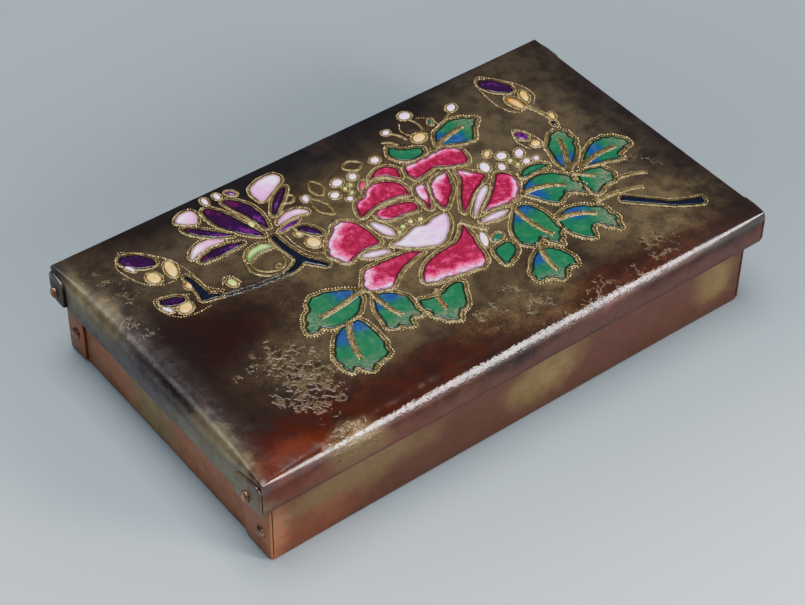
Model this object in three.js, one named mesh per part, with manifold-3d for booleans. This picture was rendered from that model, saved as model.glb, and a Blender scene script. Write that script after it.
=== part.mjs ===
// Enamelled copper box with a lift-off lid, in millimetres, +Z up.
// The origin is under the middle of the lid, on the surface that the box stands on.
import * as THREE from 'three';
import { mergeVertices } from 'three/addons/utils/BufferGeometryUtils.js';
import Module from 'manifold-3d';

const wasm = await Module();
wasm.setup();

// Sheet copper
const sheet = 0.9;
const overlap = 0.05;            // how far a folded tab reaches into the wall it lies on
const bendFade = 3.5;            // how late along an edge its bend tightens towards the corners

// Lid: a pan turned down over the tray
const lid = {
  halfX: 100, halfY: 58.6, topZ: 37, rimZ: 24.2, crown: 0.8, midBend: 6.5, farBend: 0.9, cornerBend: 0.6,
  bendSteps: 3, stationsX: [-88, -62, -32, 0, 32, 62, 88], stationsY: [-49, -28, 0, 28, 49],
};

// Tray: a pan turned up, a little to the left because the lid fits loosely along its length
const tray = {
  halfX: 94.74, halfY: 57.2, centreX: -1.21, height: 32.2, crown: 0, midBend: 1.4, farBend: 1.4,
  cornerBend: 0.6,
  bendSteps: 2, stationsX: [-72, 72], stationsY: [-42, 42],
};

// Tabs of the long walls, folded round the corners onto the short walls: which end (-1 left),
// which side (-1 front), how long, and how far the lid's tab climbs over the bend.
const lidTabs = [
  { end: -1, side: -1, length: 12.7, climb: 0 },
  { end: -1, side: 1, length: 8, climb: 0.4 },
  { end: 1, side: -1, length: 10.4, climb: 0 },
  { end: 1, side: 1, length: 11.9, climb: 0 },
];
const trayTabs = [
  { end: -1, side: -1, length: 13.3 },
  { end: -1, side: 1, length: 9.5 },
  { end: 1, side: -1, length: 11 },
  { end: 1, side: 1, length: 10.5 },
];
const tabClip = { along: 1.5, drop: 0.6, corner: 2 };
const trayTabLift = 0.3;

// Relief on the lid: raised copper lines around sunk cells of enamel
const relief = { height: 0.8, width: 1.9, slope: 0.55, cellSlope: 0.4 };
const enamel = { floorGap: 0.12, top: 0.45, edgeGap: 0.12 };
const veinWidth = 1.7;
const beadSides = 6;
const miterLimit = 1.7;

// Rivets that hold the folded tabs
const rivet = { radius: 2.1, rise: 1.3, edge: 0.35, sides: 8 };

const copper = { lid: 0x4a3020, tray: 0x6b4030, rivet: 0x5e4436 };
const glass = {
  crimson: 0xc02858, blush: 0xe8d4e6, green: 0x1e7a4c, violet: 0x35164e,
  rose: 0xe6b4d6, jade: 0xa9cf96, cream: 0xe9c890, navy: 0x141c38,
};

// ---- Outlines, anticlockwise, seen from above ----

// Corners joined by arcs. A bow is the rise of a side's arc over its length, outwards positive.
// A scalloped side adds a number of small waves of the given depth.
function arcOutline({ corners, bows, scallops }) {
  const points = [];
  corners.forEach(([ax, ay], side) => {
    const [bx, by] = corners[(side + 1) % corners.length];
    const [dx, dy] = [bx - ax, by - ay];
    const length = Math.hypot(dx, dy);
    const rise = bows[side] * length;
    const waves = scallops && scallops.side === side ? scallops.waves : 0;
    const steps = waves ? 2 * waves : 1 + (Math.abs(rise) > 0.4) + (Math.abs(rise) > 1.8);
    for (let step = 0; step < steps; step += 1) {
      const t = step / steps;
      const wave = waves ? scallops.depth * Math.abs(Math.sin(Math.PI * waves * t)) : 0;
      const out = 4 * t * (1 - t) * rise + wave;
      points.push([ax + dx * t + (dy / length) * out, ay + dy * t - (dx / length) * out]);
    }
  });
  return points;
}

// A point beside a bowed line: t along it, side millimetres to its left.
function besideLine({ from, to, bow = 0 }, t, side) {
  const [dx, dy] = [to[0] - from[0], to[1] - from[1]];
  const length = Math.hypot(dx, dy);
  const [nx, ny] = [-dy / length, dx / length];
  const [tx, ty] = [dx + nx * 4 * (1 - 2 * t) * bow, dy + ny * 4 * (1 - 2 * t) * bow];
  const tangent = Math.hypot(tx, ty);
  const lift = 4 * t * (1 - t) * bow;
  return [
    from[0] + dx * t + nx * lift - (ty / tangent) * side,
    from[1] + dy * t + ny * lift + (tx / tangent) * side,
  ];
}

// A bud, a slender petal or a bead: widest at full, base and tip from round (1) to pointed (2).
function budOutline(bud, sides = 8) {
  const { width, full = 0.5, base = 1.4, tip = 1.1 } = bud;
  const points = [];
  for (let k = 0; k < sides; k += 1) {
    const angle = (2 * Math.PI * k) / sides;
    const [c, s] = [Math.cos(angle), Math.sin(angle)];
    const power = c > 0 ? base : tip;
    const along = full - Math.sign(c) * Math.abs(c) ** power * (c > 0 ? full : 1 - full);
    const out = Math.sign(s) * Math.abs(s) ** power * (width / 2);
    points.push(besideLine(bud, along, -out));
  }
  return points;
}

// A strip along a bowed line, tapering from its start to its end.
function stripOutline(strip, steps = 3) {
  const { startWidth, endWidth } = strip;
  const [right, left] = [[], []];
  for (let k = 0; k <= steps; k += 1) {
    const t = k / steps;
    const half = (startWidth + (endWidth - startWidth) * t) / 2;
    right.push(besideLine(strip, t, -half));
    left.unshift(besideLine(strip, t, half));
  }
  return [...right, ...left];
}

// The outline moved outwards by a distance, with long points cut back.
function grow(outline, distance) {
  const count = outline.length;
  return outline.map(([x, y], k) => {
    const [px, py] = outline[(k + count - 1) % count];
    const [qx, qy] = outline[(k + 1) % count];
    const before = new THREE.Vector2(y - py, px - x).normalize();
    const after = new THREE.Vector2(qy - y, x - qx).normalize();
    const middle = before.clone().add(after).normalize();
    const reach = Math.min(1 / Math.max(middle.dot(before), 0.1), miterLimit) * distance;
    return [x + middle.x * reach, y + middle.y * reach];
  });
}

// ---- Solids ----

function toSolid(geometry) {
  const bare = geometry.clone();
  bare.deleteAttribute('normal');
  bare.deleteAttribute('uv');
  const merged = mergeVertices(bare, 1e-5);
  return new wasm.Manifold(new wasm.Mesh({
    numProp: 3,
    vertProperties: new Float32Array(merged.attributes.position.array),
    triVerts: new Uint32Array(merged.index.array),
  }));
}

function toGeometry(solid, place = (x, y, z) => [x, y, z]) {
  const mesh = solid.getMesh();
  const positions = [];
  for (let k = 0; k < mesh.vertProperties.length; k += mesh.numProp) {
    positions.push(...place(...mesh.vertProperties.slice(k, k + 3)));
  }
  const geometry = new THREE.BufferGeometry();
  geometry.setAttribute('position', new THREE.Float32BufferAttribute(positions, 3));
  geometry.setIndex(Array.from(mesh.triVerts));
  return geometry;
}

// A closed body between two outlines of the same number of points, at two heights.
function frustum(lower, lowZ, upper, highZ) {
  const count = lower.length;
  const positions = [
    ...lower.flatMap(([x, y]) => [x, y, lowZ]),
    ...upper.flatMap(([x, y]) => [x, y, highZ]),
  ];
  const index = [];
  for (let k = 0; k < count; k += 1) {
    const next = (k + 1) % count;
    index.push(k, next, count + next, k, count + next, count + k);
  }
  const asVectors = (outline) => outline.map(([x, y]) => new THREE.Vector2(x, y));
  THREE.ShapeUtils.triangulateShape(asVectors(lower), []).forEach(([a, b, c]) => index.push(a, c, b));
  THREE.ShapeUtils.triangulateShape(asVectors(upper), []).forEach(([a, b, c]) => {
    index.push(count + a, count + b, count + c);
  });
  const geometry = new THREE.BufferGeometry();
  geometry.setAttribute('position', new THREE.Float32BufferAttribute(positions, 3));
  geometry.setIndex(index);
  return toSolid(geometry);
}

// ---- Folded pans ----

// The radius of an edge's bend at a place along it, from -1 to 1. The left and front edges are bent
// wider than the other two.
function bendRadius({ midBend, farBend, cornerBend }, along, side) {
  const middle = side < 0 ? midBend : farBend;
  return cornerBend + (middle - cornerBend) * (1 - Math.abs(along) ** bendFade);
}

// How far a bend of this radius has dropped at a distance in from the wall's face.
function bendDrop(inset, radius) {
  return inset < radius ? radius - Math.sqrt(Math.max(radius ** 2 - (radius - inset) ** 2, 0)) : 0;
}

// The height of a pan's outer face above the corners of its plate.
function panHeight(pan, x, y) {
  const [u, v] = [x / pan.halfX, y / pan.halfY];
  const dome = pan.crown * (1 - u * u) * (1 - v * v);
  const shortEdge = bendDrop(pan.halfX - Math.abs(x), bendRadius(pan, v, x));
  const longEdge = bendDrop(pan.halfY - Math.abs(y), bendRadius(pan, u, y));
  return dome - shortEdge - longEdge;
}

// The lines of the grid across a pan: the bend at one end, stations, the bend at the other.
function gridLines(half, stations, steps) {
  const bend = [];
  for (let k = 0; k <= steps; k += 1) {
    bend.push(1 - Math.cos((Math.PI / 2) * (k / steps)));
  }
  return [
    ...bend.map((part) => ({ along: -1, at: (radius) => -half + radius * part })),
    ...stations.map((place) => ({ along: place / half, at: () => place })),
    ...bend.reverse().map((part) => ({ along: 1, at: (radius) => half - radius * part })),
  ];
}

// A pan's inner face is that of a pan smaller by the sheet's thickness.
const inside = (pan, inset) => ({
  ...pan,
  halfX: pan.halfX - inset,
  halfY: pan.halfY - inset,
  midBend: pan.midBend - inset,
  farBend: Math.max(pan.farBend - inset, 0.2),
  cornerBend: Math.max(pan.cornerBend - inset, 0.2),
});

// One face of a pan as a grid of points, its plate still flat.
function panFace(pan, inset) {
  const face = inside(pan, inset);
  const columns = gridLines(face.halfX, pan.stationsX, pan.bendSteps);
  const rows = gridLines(face.halfY, pan.stationsY, pan.bendSteps);
  return rows.map((row) => columns.map((column) => {
    const x = column.at(bendRadius(face, row.along, column.along));
    const y = row.at(bendRadius(face, column.along, row.along));
    return [x, y, -inset];
  }));
}

function edgeLoop(grid) {
  const [rows, columns] = [grid.length, grid[0].length];
  const loop = [];
  for (let i = 0; i < columns - 1; i += 1) loop.push([0, i]);
  for (let j = 0; j < rows - 1; j += 1) loop.push([j, columns - 1]);
  for (let i = columns - 1; i > 0; i -= 1) loop.push([rows - 1, i]);
  for (let j = rows - 1; j > 0; j -= 1) loop.push([j, 0]);
  return loop;
}

// A pan of sheet with a flat plate on top, at z 0, and its rim below it at the given depth.
function flatPan(pan, depth) {
  const positions = [];
  const index = [];
  const addPoint = (point) => positions.push(...point) / 3 - 1;
  const addQuad = (a, b, c, d) => index.push(a, b, c, a, c, d);
  const faces = [0, sheet].map((inset) => {
    const grid = panFace(pan, inset);
    const numbers = grid.map((row) => row.map(addPoint));
    const loop = edgeLoop(grid);
    const rim = loop.map(([j, i]) => addPoint([grid[j][i][0], grid[j][i][1], -depth]));
    return { numbers, edge: loop.map(([j, i]) => numbers[j][i]), rim };
  });
  const [outer, inner] = faces;
  for (let j = 0; j < outer.numbers.length - 1; j += 1) {
    for (let i = 0; i < outer.numbers[0].length - 1; i += 1) {
      const corners = ({ numbers }) => [
        numbers[j][i], numbers[j][i + 1], numbers[j + 1][i + 1], numbers[j + 1][i],
      ];
      addQuad(...corners(outer));
      addQuad(...corners(inner).reverse());
    }
  }
  outer.edge.forEach((top, k) => {
    const next = (k + 1) % outer.edge.length;
    addQuad(outer.rim[k], outer.rim[next], outer.edge[next], top);
    addQuad(outer.rim[k], inner.rim[k], inner.rim[next], outer.rim[next]);
    addQuad(inner.rim[k], inner.edge[k], inner.edge[next], inner.rim[next]);
  });
  const geometry = new THREE.BufferGeometry();
  geometry.setAttribute('position', new THREE.Float32BufferAttribute(positions, 3));
  geometry.setIndex(index);
  return toSolid(geometry);
}

// The same pan with its dome and its bends: each face of the plate moves to its true height.
function formPan(solid, pan) {
  const inner = inside(pan, sheet);
  return toSolid(toGeometry(solid, (x, y, z) => {
    if (z < -sheet - 0.01) return [x, y, z];
    return [x, y, z + (z < -0.01 ? panHeight(inner, x, y) : panHeight(pan, x, y))];
  }));
}

// A tab of the long wall folded round a corner onto the short wall, from its outline in y and z.
function tabSolid(outline, endX) {
  const shape = new THREE.Shape(outline.map(([y, z]) => new THREE.Vector2(y, z)));
  const geometry = new THREE.ExtrudeGeometry(shape, { depth: sheet + overlap, bevelEnabled: false });
  const turn = new THREE.Matrix4().makeBasis(
    new THREE.Vector3(0, 1, 0), new THREE.Vector3(0, 0, 1), new THREE.Vector3(1, 0, 0));
  geometry.applyMatrix4(turn);
  geometry.translate(endX > 0 ? endX - overlap : endX - sheet, 0, 0);
  return toSolid(geometry);
}

// ---- The picture on the lid: peony, magnolia, leaves and buds ----

const peonyPetals = {
  left: {
    corners: [[-10.6, 3.2], [-11, 15], [-15.3, 19.4], [-25.6, 11.4], [-24, 1.8]],
    bows: [0.05, 0.1, 0.02, 0.15, -0.1], scallops: { side: 2, waves: 2, depth: 0.7 },
  },
  lower_left: {
    corners: [[-2.2, -8.2], [-8, -5], [-22.5, -4.2], [-27.4, -11.4], [-19, -14.8]],
    bows: [0.1, 0.02, 0.08, 0.12, -0.1],
  },
  bottom: {
    corners: [[16, -5], [8.5, -11.2], [-3.5, -12.7], [-10.2, -19.4], [10.8, -24], [13.2, -17]],
    bows: [-0.08, 0.05, 0.1, 0.03, 0.1, 0.04], scallops: { side: 3, waves: 3, depth: 0.9 },
  },
  top_left: {
    corners: [[-8, 16.6], [10.8, 16.8], [11.8, 23.6], [4.6, 28], [-6.2, 22]],
    bows: [-0.12, 0.15, 0.12, -0.02, 0.06], scallops: { side: 3, waves: 2, depth: 0.8 },
  },
  heart: {
    corners: [[-0.8, 10.4], [8.8, 8.8], [9.8, 13], [1, 16.3], [-4.2, 15]],
    bows: [-0.05, 0.1, 0.08, 0.08, 0.06],
  },
  top: {
    corners: [[5.6, 30.6], [11.8, 29], [14.2, 25], [16, 29.6], [12.4, 33.4]],
    bows: [0.02, 0.12, 0, 0.1, 0.08],
  },
  top_right: {
    corners: [[17.8, 21.8], [26.4, 23.4], [36.6, 18.2], [39, 25.8], [35, 28.6], [18.4, 28.2]],
    bows: [0.06, 0.04, 0.12, 0.1, 0, 0.14], scallops: { side: 4, waves: 2, depth: 0.5 },
  },
  inner_left: {
    corners: [[11.6, 5.5], [15.2, 11], [17.8, 17.4], [14.6, 18.6], [13.2, 13]],
    bows: [0.02, 0.04, 0.2, 0.05, -0.04],
  },
  inner_middle: {
    corners: [[16.4, 4.2], [24.5, 11], [28, 19.6], [21, 17.4], [17, 10]],
    bows: [0.03, 0.04, -0.05, 0.1, 0.04],
  },
  inner_right: {
    corners: [[19.4, -1.6], [28.5, 5], [37.6, 9.6], [34, 13.6], [32.6, 17.8], [30.6, 13.4]],
    bows: [0.02, 0.03, 0.12, -0.08, 0.2, 0.02],
  },
  right: {
    corners: [[26.2, -4.2], [38, -5.9], [44.6, 3.4], [40.4, 7.7]],
    bows: [0.02, 0.08, 0.22, -0.04],
  },
};

const palePetals = {
  middle: {
    corners: [[-8, 0.2], [4.8, -8.4], [15.2, 2.6], [10, 2.6], [6.6, 1.2], [2.5, 2.6]],
    bows: [0.08, 0.12, 0, -0.06, 0.04, -0.04],
  },
  left: { from: [-10.2, -1.6], to: [-19.2, 1.8], width: 2.6, full: 0.55, base: 1 },
  upper_left: { from: [-4.6, 3.4], to: [-7.4, 13], width: 3.4, full: 0.42, base: 1.1 },
  right: { from: [21.8, -4.6], to: [34.6, 5.2], width: 2.5, full: 0.66, base: 1.5, bow: 0.6 },
  lower_right: { from: [21.5, -8], to: [32.6, -8.6], width: 2.6, tip: 1.3 },
};

const leaves = {
  left_upper: {
    corners: [
      [-29.6, -10.6], [-39, -4.6], [-46, -4.6], [-45.6, -7.2], [-53, -16.4], [-46.6, -18.6], [-36, -18.4],
    ],
    bows: [0.08, 0.03, -0.1, 0.1, -0.1, 0.1, 0.1],
    vein: { from: [-28, -10.4], to: [-46, -13], bow: 0.6 },
  },
  left_lower: {
    corners: [
      [-37, -20.6], [-44.5, -21], [-53, -33], [-52, -38], [-49.6, -35.8],
      [-47, -42], [-44.6, -38.6], [-38, -37.4], [-36.6, -32],
    ],
    bows: [0.05, 0.12, 0.05, 0, -0.06, -0.06, 0.1, 0, 0.05],
    vein: { from: [-40, -19.5], to: [-46.4, -34.5], bow: -1 },
  },
  left_inner: {
    corners: [
      [-26.2, -15], [-30, -20], [-31.4, -31.4], [-28.4, -29.6],
      [-25, -33.2], [-23.4, -28.6], [-20, -29.6], [-19, -22],
    ],
    bows: [0.05, 0.05, -0.05, -0.04, -0.06, 0, 0.05, 0.15],
    vein: { from: [-26.8, -13.5], to: [-25.2, -27], bow: -0.7 },
  },
  bottom: {
    corners: [
      [-11.6, -26.5], [-16.6, -25], [-17, -32], [-11.4, -39.2],
      [-9.4, -35.8], [-5, -35.4], [-0.6, -26.4], [-5.6, -25.6],
    ],
    bows: [-0.1, 0.15, 0.12, -0.1, 0, -0.04, 0.1, -0.1],
    vein: { from: [-9.6, -24.4], to: [-12, -33], bow: -0.8 },
  },
  right_lower: {
    corners: [
      [35.4, -9.6], [31, -13], [25.6, -24], [28.6, -26.6],
      [32.4, -24.6], [36, -31.8], [38.4, -28.4], [40.8, -20], [38.6, -9.8],
    ],
    bows: [0.1, 0.12, 0.08, 0.04, -0.06, -0.06, 0.1, 0.1, 0.05],
    vein: { from: [35, -6.6], to: [36.6, -26.4], bow: -1.4 },
  },
  right: {
    corners: [[41.6, -5], [44, -9], [48.4, -15.6], [53, -12.6], [58.8, -16.8], [58.8, -5], [51, -0.8]],
    bows: [0.05, 0.1, 0.02, -0.06, 0.1, 0.1, 0.12],
    vein: { from: [40.5, -5.2], to: [55.6, -10], bow: 1.8 },
  },
  right_tip: { from: [46.4, 1.4], to: [57.6, 1.2], width: 3.4, bow: 1.6, base: 1.3, tip: 1.2 },
  far_lower: {
    corners: [[43.4, -20.6], [42, -28], [46.8, -35.2], [50, -30], [56.4, -36.4], [58, -25.4], [50.6, -19.8]],
    bows: [0.1, 0.12, -0.04, -0.06, 0.1, 0.1, 0.08],
    vein: { from: [41.8, -21.6], to: [54.6, -27], bow: 1.6 },
  },
  lowest: {
    corners: [
      [29.4, -29], [22, -33.6], [18.8, -40.6], [22.6, -40.4],
      [27, -45.4], [29.6, -40.6], [33.8, -41.6], [34.6, -36],
    ],
    bows: [0.08, 0.1, -0.04, -0.06, -0.05, 0, 0.05, 0.1],
    vein: { from: [29.6, -27.6], to: [27, -40], bow: -0.8 },
  },
  small_lower: {
    corners: [[16.4, -21], [15.4, -28.6], [22.6, -25], [22.4, -20.2]],
    bows: [0.02, 0.04, 0.14, 0.05],
  },
  far_upper: {
    corners: [[61.6, -4], [66, -2], [72.6, 5], [73.6, 13.2], [68, 12.2], [62, 3]],
    bows: [0, 0.06, 0.06, 0.1, 0.1, 0.08],
    vein: { from: [61, -5.6], to: [69.6, 9.4], bow: -0.6 },
  },
  far_right: {
    corners: [[66.6, -6], [76, -8.6], [80.6, -10], [80.6, -7.6], [87, -5.6], [84, 1], [77, 1.4]],
    bows: [0.02, 0.05, -0.1, 0.05, 0.14, 0.06, 0.05],
    vein: { from: [65.4, -6.4], to: [82.4, -4.4], bow: 1.2 },
  },
  far_inner: {
    corners: [[62.4, -8.4], [61.4, -20], [65.6, -17.6], [71.4, -17.4], [71.6, -10.4], [67, -8.4]],
    bows: [0.08, -0.06, 0.02, 0.12, 0.1, 0.06],
    vein: { from: [61.6, -7], to: [67, -12.4] },
  },
  top_small: {
    corners: [[22, 31], [27.6, 30.6], [29.4, 33.6], [25.6, 35.4], [20.6, 40.6], [18.4, 36]],
    bows: [0.1, 0.08, 0.05, -0.1, 0.12, 0.12],
  },
  top: {
    corners: [[34.8, 31.8], [41.8, 27.8], [47, 27], [49.6, 31.4], [54.4, 34.6], [47.6, 39], [38, 37]],
    bows: [0.06, 0.08, 0.05, -0.06, 0.06, 0.06, 0.06],
    vein: { from: [31.8, 30.4], to: [47.4, 34.6], bow: 0.6 },
  },
};

const magnoliaPetals = {
  tall_left: { glass: 'violet', from: [-38, 28.4], to: [-46.4, 51.4], width: 6.2, full: 0.62, bow: 1.2 },
  tall_right: { glass: 'violet', from: [-35.4, 31], to: [-39.4, 51], width: 4.6, full: 0.6, bow: -2.2 },
  upper_right: {
    glass: 'rose', corners: [[-29.2, 43], [-24.6, 45], [-18.2, 48.6], [-18.6, 52.4], [-29, 50.4]],
    bows: [0.04, 0.04, 0.2, 0.1, 0.06],
  },
  slender_right: { glass: 'violet', from: [-30.4, 34.6], to: [-18.8, 45], width: 2.8, full: 0.6, bow: 0.6 },
  right: {
    glass: 'rose', corners: [[-31.6, 30.4], [-20, 29.4], [-25.6, 33.6]],
    bows: [-0.1, 0.18, 0.1],
  },
  upper_left: {
    glass: 'rose', corners: [[-52, 47], [-50, 52.6], [-55.6, 52.8], [-57.4, 51]],
    bows: [0.1, 0.2, 0.1, 0.05],
  },
  slender_left: { glass: 'violet', from: [-45.4, 34.4], to: [-57.6, 47.6], width: 3, full: 0.6, bow: 0.8 },
  left: {
    glass: 'rose', corners: [[-63.4, 33], [-56, 35.2], [-49.4, 34.4], [-56, 38.2]],
    bows: [-0.02, -0.02, 0.1, 0.14],
  },
  lower_left: { glass: 'violet', from: [-45.4, 30], to: [-61.6, 30.6], width: 3.6, full: 0.6, bow: -0.8 },
  calyx: {
    glass: 'jade', corners: [[-49.4, 21.2], [-38.6, 22.4], [-43.4, 26.2]],
    bows: [-0.14, 0.2, 0.2],
  },
};

const buds = {
  far_left_tip: { glass: 'violet', from: [-73, 38.6], to: [-81.8, 47.2], width: 6, base: 1.1 },
  left_tip: { glass: 'violet', from: [-74.4, 19.4], to: [-82, 23], width: 4, base: 1.2, bow: 0.6 },
  stem_tip: { glass: 'violet', from: [-23, 17.6], to: [-27.8, 25.4], width: 3.2, base: 1.2, bow: -0.6 },
  far_right_tip: { glass: 'violet', from: [74, 39.4], to: [67.2, 50.4], width: 6, base: 1.1, tip: 1 },
  far_right_scale: { glass: 'cream', from: [71, 29.6], to: [69.6, 37.6], width: 3.4, base: 1.1 },
};

// Twigs are strips joined end to end, each one cell of enamel.
const twigs = {
  magnolia_twig: [
    { from: [-36.2, 27], to: [-35, 12], startWidth: 1.6, endWidth: 2.6, bow: -0.6 },
    { from: [-34.4, 13.4], to: [-43, 9.6], startWidth: 2.6, endWidth: 1.2, bow: 0.8 },
    { from: [-35.4, 12.8], to: [-30, 4.6], startWidth: 2.8, endWidth: 1.4 },
  ],
  left_bud_twig: [
    { from: [-64.6, 14], to: [-70.6, 16.6], startWidth: 1.2, endWidth: 3 },
    { from: [-69, 15], to: [-69.2, 28], startWidth: 3, endWidth: 1.2, bow: -0.4 },
  ],
  peony_twig: [
    { from: [66, -26], to: [78, -37.6], startWidth: 2.6, endWidth: 1.8 },
    { from: [77.2, -37], to: [87.6, -42.4], startWidth: 1.8, endWidth: 3.2, bow: -0.4 },
  ],
};

// Bare copper lines: stems and leaf stalks that hold no enamel.
const bareLines = [
  { from: [-42, 10], to: [-65, 13.8], startWidth: 1.8, endWidth: 1.8, bow: 0.6 },
  { from: [72, 30], to: [74.4, 16.6], startWidth: 2, endWidth: 1.4, bow: 1 },
  { from: [72, -17.4], to: [82, -21], startWidth: 1.8, endWidth: 1.2, bow: 0.8 },
  { from: [58, -22], to: [76, -25.6], startWidth: 2, endWidth: 1.2, bow: 1 },
  { from: [16, -4], to: [21, -12], startWidth: 2.4, endWidth: 1.6 },
];

// Small buds and bud scales, fused to the lid as low beads: place and diameter.
const beads = [
  [-4, 36, 3.6], [-8.3, 31.3, 3.2], [2, 35.5, 3.2], [13, 38, 3.2], [-17, 35.7, 2.8],
  [24.8, 47.5, 2.8], [35.5, 51, 3.6], [51, 45, 3.4], [48.3, 14.3, 3.4], [54, 12, 3.6],
  [44.7, 9.7, 2.8], [40, 13, 4], [60.5, 18.8, 4], [-58.6, 16.8, 3], [61.8, 12.8, 3.2],
  [-77, 33.2, 4.4], [-70.6, 33.6, 4], [-76.6, 16.2, 4.4], [-27.4, 16.6, 4],
];

// ---- Pieces ----

function outlineOf(figure) {
  if (figure.corners) return arcOutline(figure);
  return budOutline(figure);
}

const veinStrip = (vein) => ({ ...vein, startWidth: veinWidth, endWidth: veinWidth * 0.7 });

// A raised block round an outline, and the cell cut into it.
function ridgeBlock(outline) {
  const { height, width, slope } = relief;
  return frustum(grow(outline, width), 0, grow(outline, width - slope), height);
}

const cellCut = (outline) => frustum(outline, 0, grow(outline, relief.cellSlope), relief.height);

function enamelPlate(outline) {
  const shape = grow(outline, -enamel.edgeGap);
  return frustum(shape, enamel.floorGap, shape, enamel.top);
}

const onLid = (x, y, z) => [x, y, z + lid.topZ + panHeight(lid, x, y)];

// Every enamelled figure of the picture, by name, with its glass and its outlines.
const figures = [
  ...Object.entries(peonyPetals).map(([name, petal]) => [`peony_petal_${name}`, petal, 'crimson']),
  ...Object.entries(palePetals).map(([name, petal]) => [`pale_petal_${name}`, petal, 'blush']),
  ...Object.entries(leaves).map(([name, leaf]) => [`leaf_${name}`, leaf, 'green']),
  ...Object.entries(magnoliaPetals).map(([name, petal]) => [`magnolia_${name}`, petal, petal.glass]),
  ...Object.entries(buds).map(([name, bud]) => [`bud_${name}`, bud, bud.glass]),
].map(([name, figure, colour]) => ({ name, colour, figure, outlines: [outlineOf(figure)] }));

const twigFigures = Object.entries(twigs).map(([name, strips]) => ({
  name, colour: 'navy', figure: {}, outlines: strips.map((strip) => stripOutline(strip)),
}));

const allFigures = [...figures, ...twigFigures];

function reliefSolid() {
  const { height, slope } = relief;
  const raise = (outline) => frustum(outline, 0, grow(outline, -slope / 2), height);
  const outlines = allFigures.flatMap((figure) => figure.outlines);
  const drops = beads.map(([x, y, size]) => {
    const bead = { from: [x - size / 2, y], to: [x + size / 2, y], width: size, base: 1, tip: 1 };
    return raise(budOutline(bead, beadSides));
  });
  const lines = bareLines.map((line) => raise(stripOutline(line, 2)));
  const veined = figures.filter(({ figure }) => figure.vein);
  const veins = veined.map(({ figure }) => raise(stripOutline(veinStrip(figure.vein), 2)));
  const union = wasm.Manifold.union;
  const raised = union([...outlines.map(ridgeBlock), ...lines, ...drops]);
  return union([raised.subtract(union(outlines.map(cellCut))), ...veins]);
}

function lidSolid() {
  const flat = wasm.Manifold.union([flatPan(lid, lid.topZ - lid.rimZ), reliefSolid()]);
  const pan = formPan(flat, lid).translate([0, 0, lid.topZ]);
  const tabs = lidTabs.map(({ end, side, length, climb }) => {
    const wallTop = (y) => lid.topZ - bendRadius(lid, y / lid.halfY, end);
    const [corner, tip] = [side * lid.halfY, side * (lid.halfY - length)];
    const middle = (corner + tip) / 2;
    return tabSolid([
      [corner, lid.rimZ], [tip, lid.rimZ], [tip, wallTop(tip) + climb],
      [middle, wallTop(middle) + climb],
      [corner - side * tabClip.along, wallTop(corner) - tabClip.drop],
      [corner, wallTop(corner) - tabClip.corner],
    ], end * lid.halfX);
  });
  return wasm.Manifold.union([pan, ...tabs]);
}

function traySolid() {
  const formed = formPan(flatPan(tray, tray.height), tray);
  const pan = formed.rotate([180, 0, 0]).translate([tray.centreX, 0, 0]);
  const wallFoot = (y) => bendRadius(tray, y / tray.halfY, -1);
  const tabs = trayTabs.map(({ end, side, length }) => {
    const [corner, tip] = [side * tray.halfY, side * (tray.halfY - length)];
    return tabSolid([
      [corner, tray.height], [tip, tray.height],
      [tip, wallFoot(tip) + trayTabLift], [corner, wallFoot(corner)],
    ], end * tray.halfX).translate([tray.centreX, 0, 0]);
  });
  return wasm.Manifold.union([pan, ...tabs]);
}

function enamelSolid({ figure, outlines }) {
  const plates = outlines.map(enamelPlate);
  const plate = plates.length > 1 ? wasm.Manifold.union(plates) : plates[0];
  if (!figure.vein) return plate;
  const vein = grow(stripOutline(veinStrip(figure.vein), 2), enamel.edgeGap);
  return plate.subtract(frustum(vein, -1, vein, 2));
}

function rivetGeometry() {
  const { radius, rise, edge, sides } = rivet;
  const profile = [[0, 0], [radius, 0], [radius, edge]];
  const shoulder = THREE.MathUtils.degToRad(50);
  profile.push([radius * Math.cos(shoulder), edge + (rise - edge) * Math.sin(shoulder)]);
  profile.push([0, rise]);
  return new THREE.LatheGeometry(profile.map(([r, y]) => new THREE.Vector2(r, y)), sides);
}

// Name, x of the face it sits on, y and z of its centre.
const rivets = [
  ['lid_rivet_front_left', -lid.halfX - sheet, -51.6, 27.3],
  ['lid_rivet_back_left', -lid.halfX - sheet, 55.9, 27.6],
  ['lid_rivet_front_right', lid.halfX + sheet, -53.2, 27.3],
  ['lid_rivet_back_right', lid.halfX + sheet, 53.4, 27.5],
  ['tray_rivet_front_left', tray.centreX - tray.halfX - sheet, -52.4, 9.5],
  ['tray_rivet_back_left', tray.centreX - tray.halfX - sheet, 52.3, 10],
  ['tray_rivet_front_right', tray.centreX + tray.halfX + sheet, -52, 9.7],
  ['tray_rivet_back_right', tray.centreX + tray.halfX + sheet, 52, 9.8],
];

const box = new THREE.Group();

function addPiece(name, geometry, color, roughness, metalness) {
  const material = new THREE.MeshStandardMaterial({ color, roughness, metalness });
  const mesh = new THREE.Mesh(geometry, material);
  mesh.name = name;
  box.add(mesh);
  return mesh;
}

addPiece('lid', toGeometry(lidSolid()), copper.lid, 0.35, 0.8);
addPiece('tray', toGeometry(traySolid()), copper.tray, 0.45, 0.7);
rivets.forEach(([name, x, y, z]) => {
  const head = addPiece(name, rivetGeometry(), copper.rivet, 0.35, 0.8);
  head.position.set(x, y, z);
  head.rotation.z = (-Math.sign(x) * Math.PI) / 2;
});
allFigures.forEach((figure) => {
  const geometry = toGeometry(enamelSolid(figure), onLid);
  addPiece(`enamel_${figure.name}`, geometry, glass[figure.colour], 0.12, 0);
});

export default box;
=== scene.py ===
import math

import bpy
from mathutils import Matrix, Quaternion, Vector, kdtree, noise
from mathutils.geometry import delaunay_2d_cdt


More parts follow.
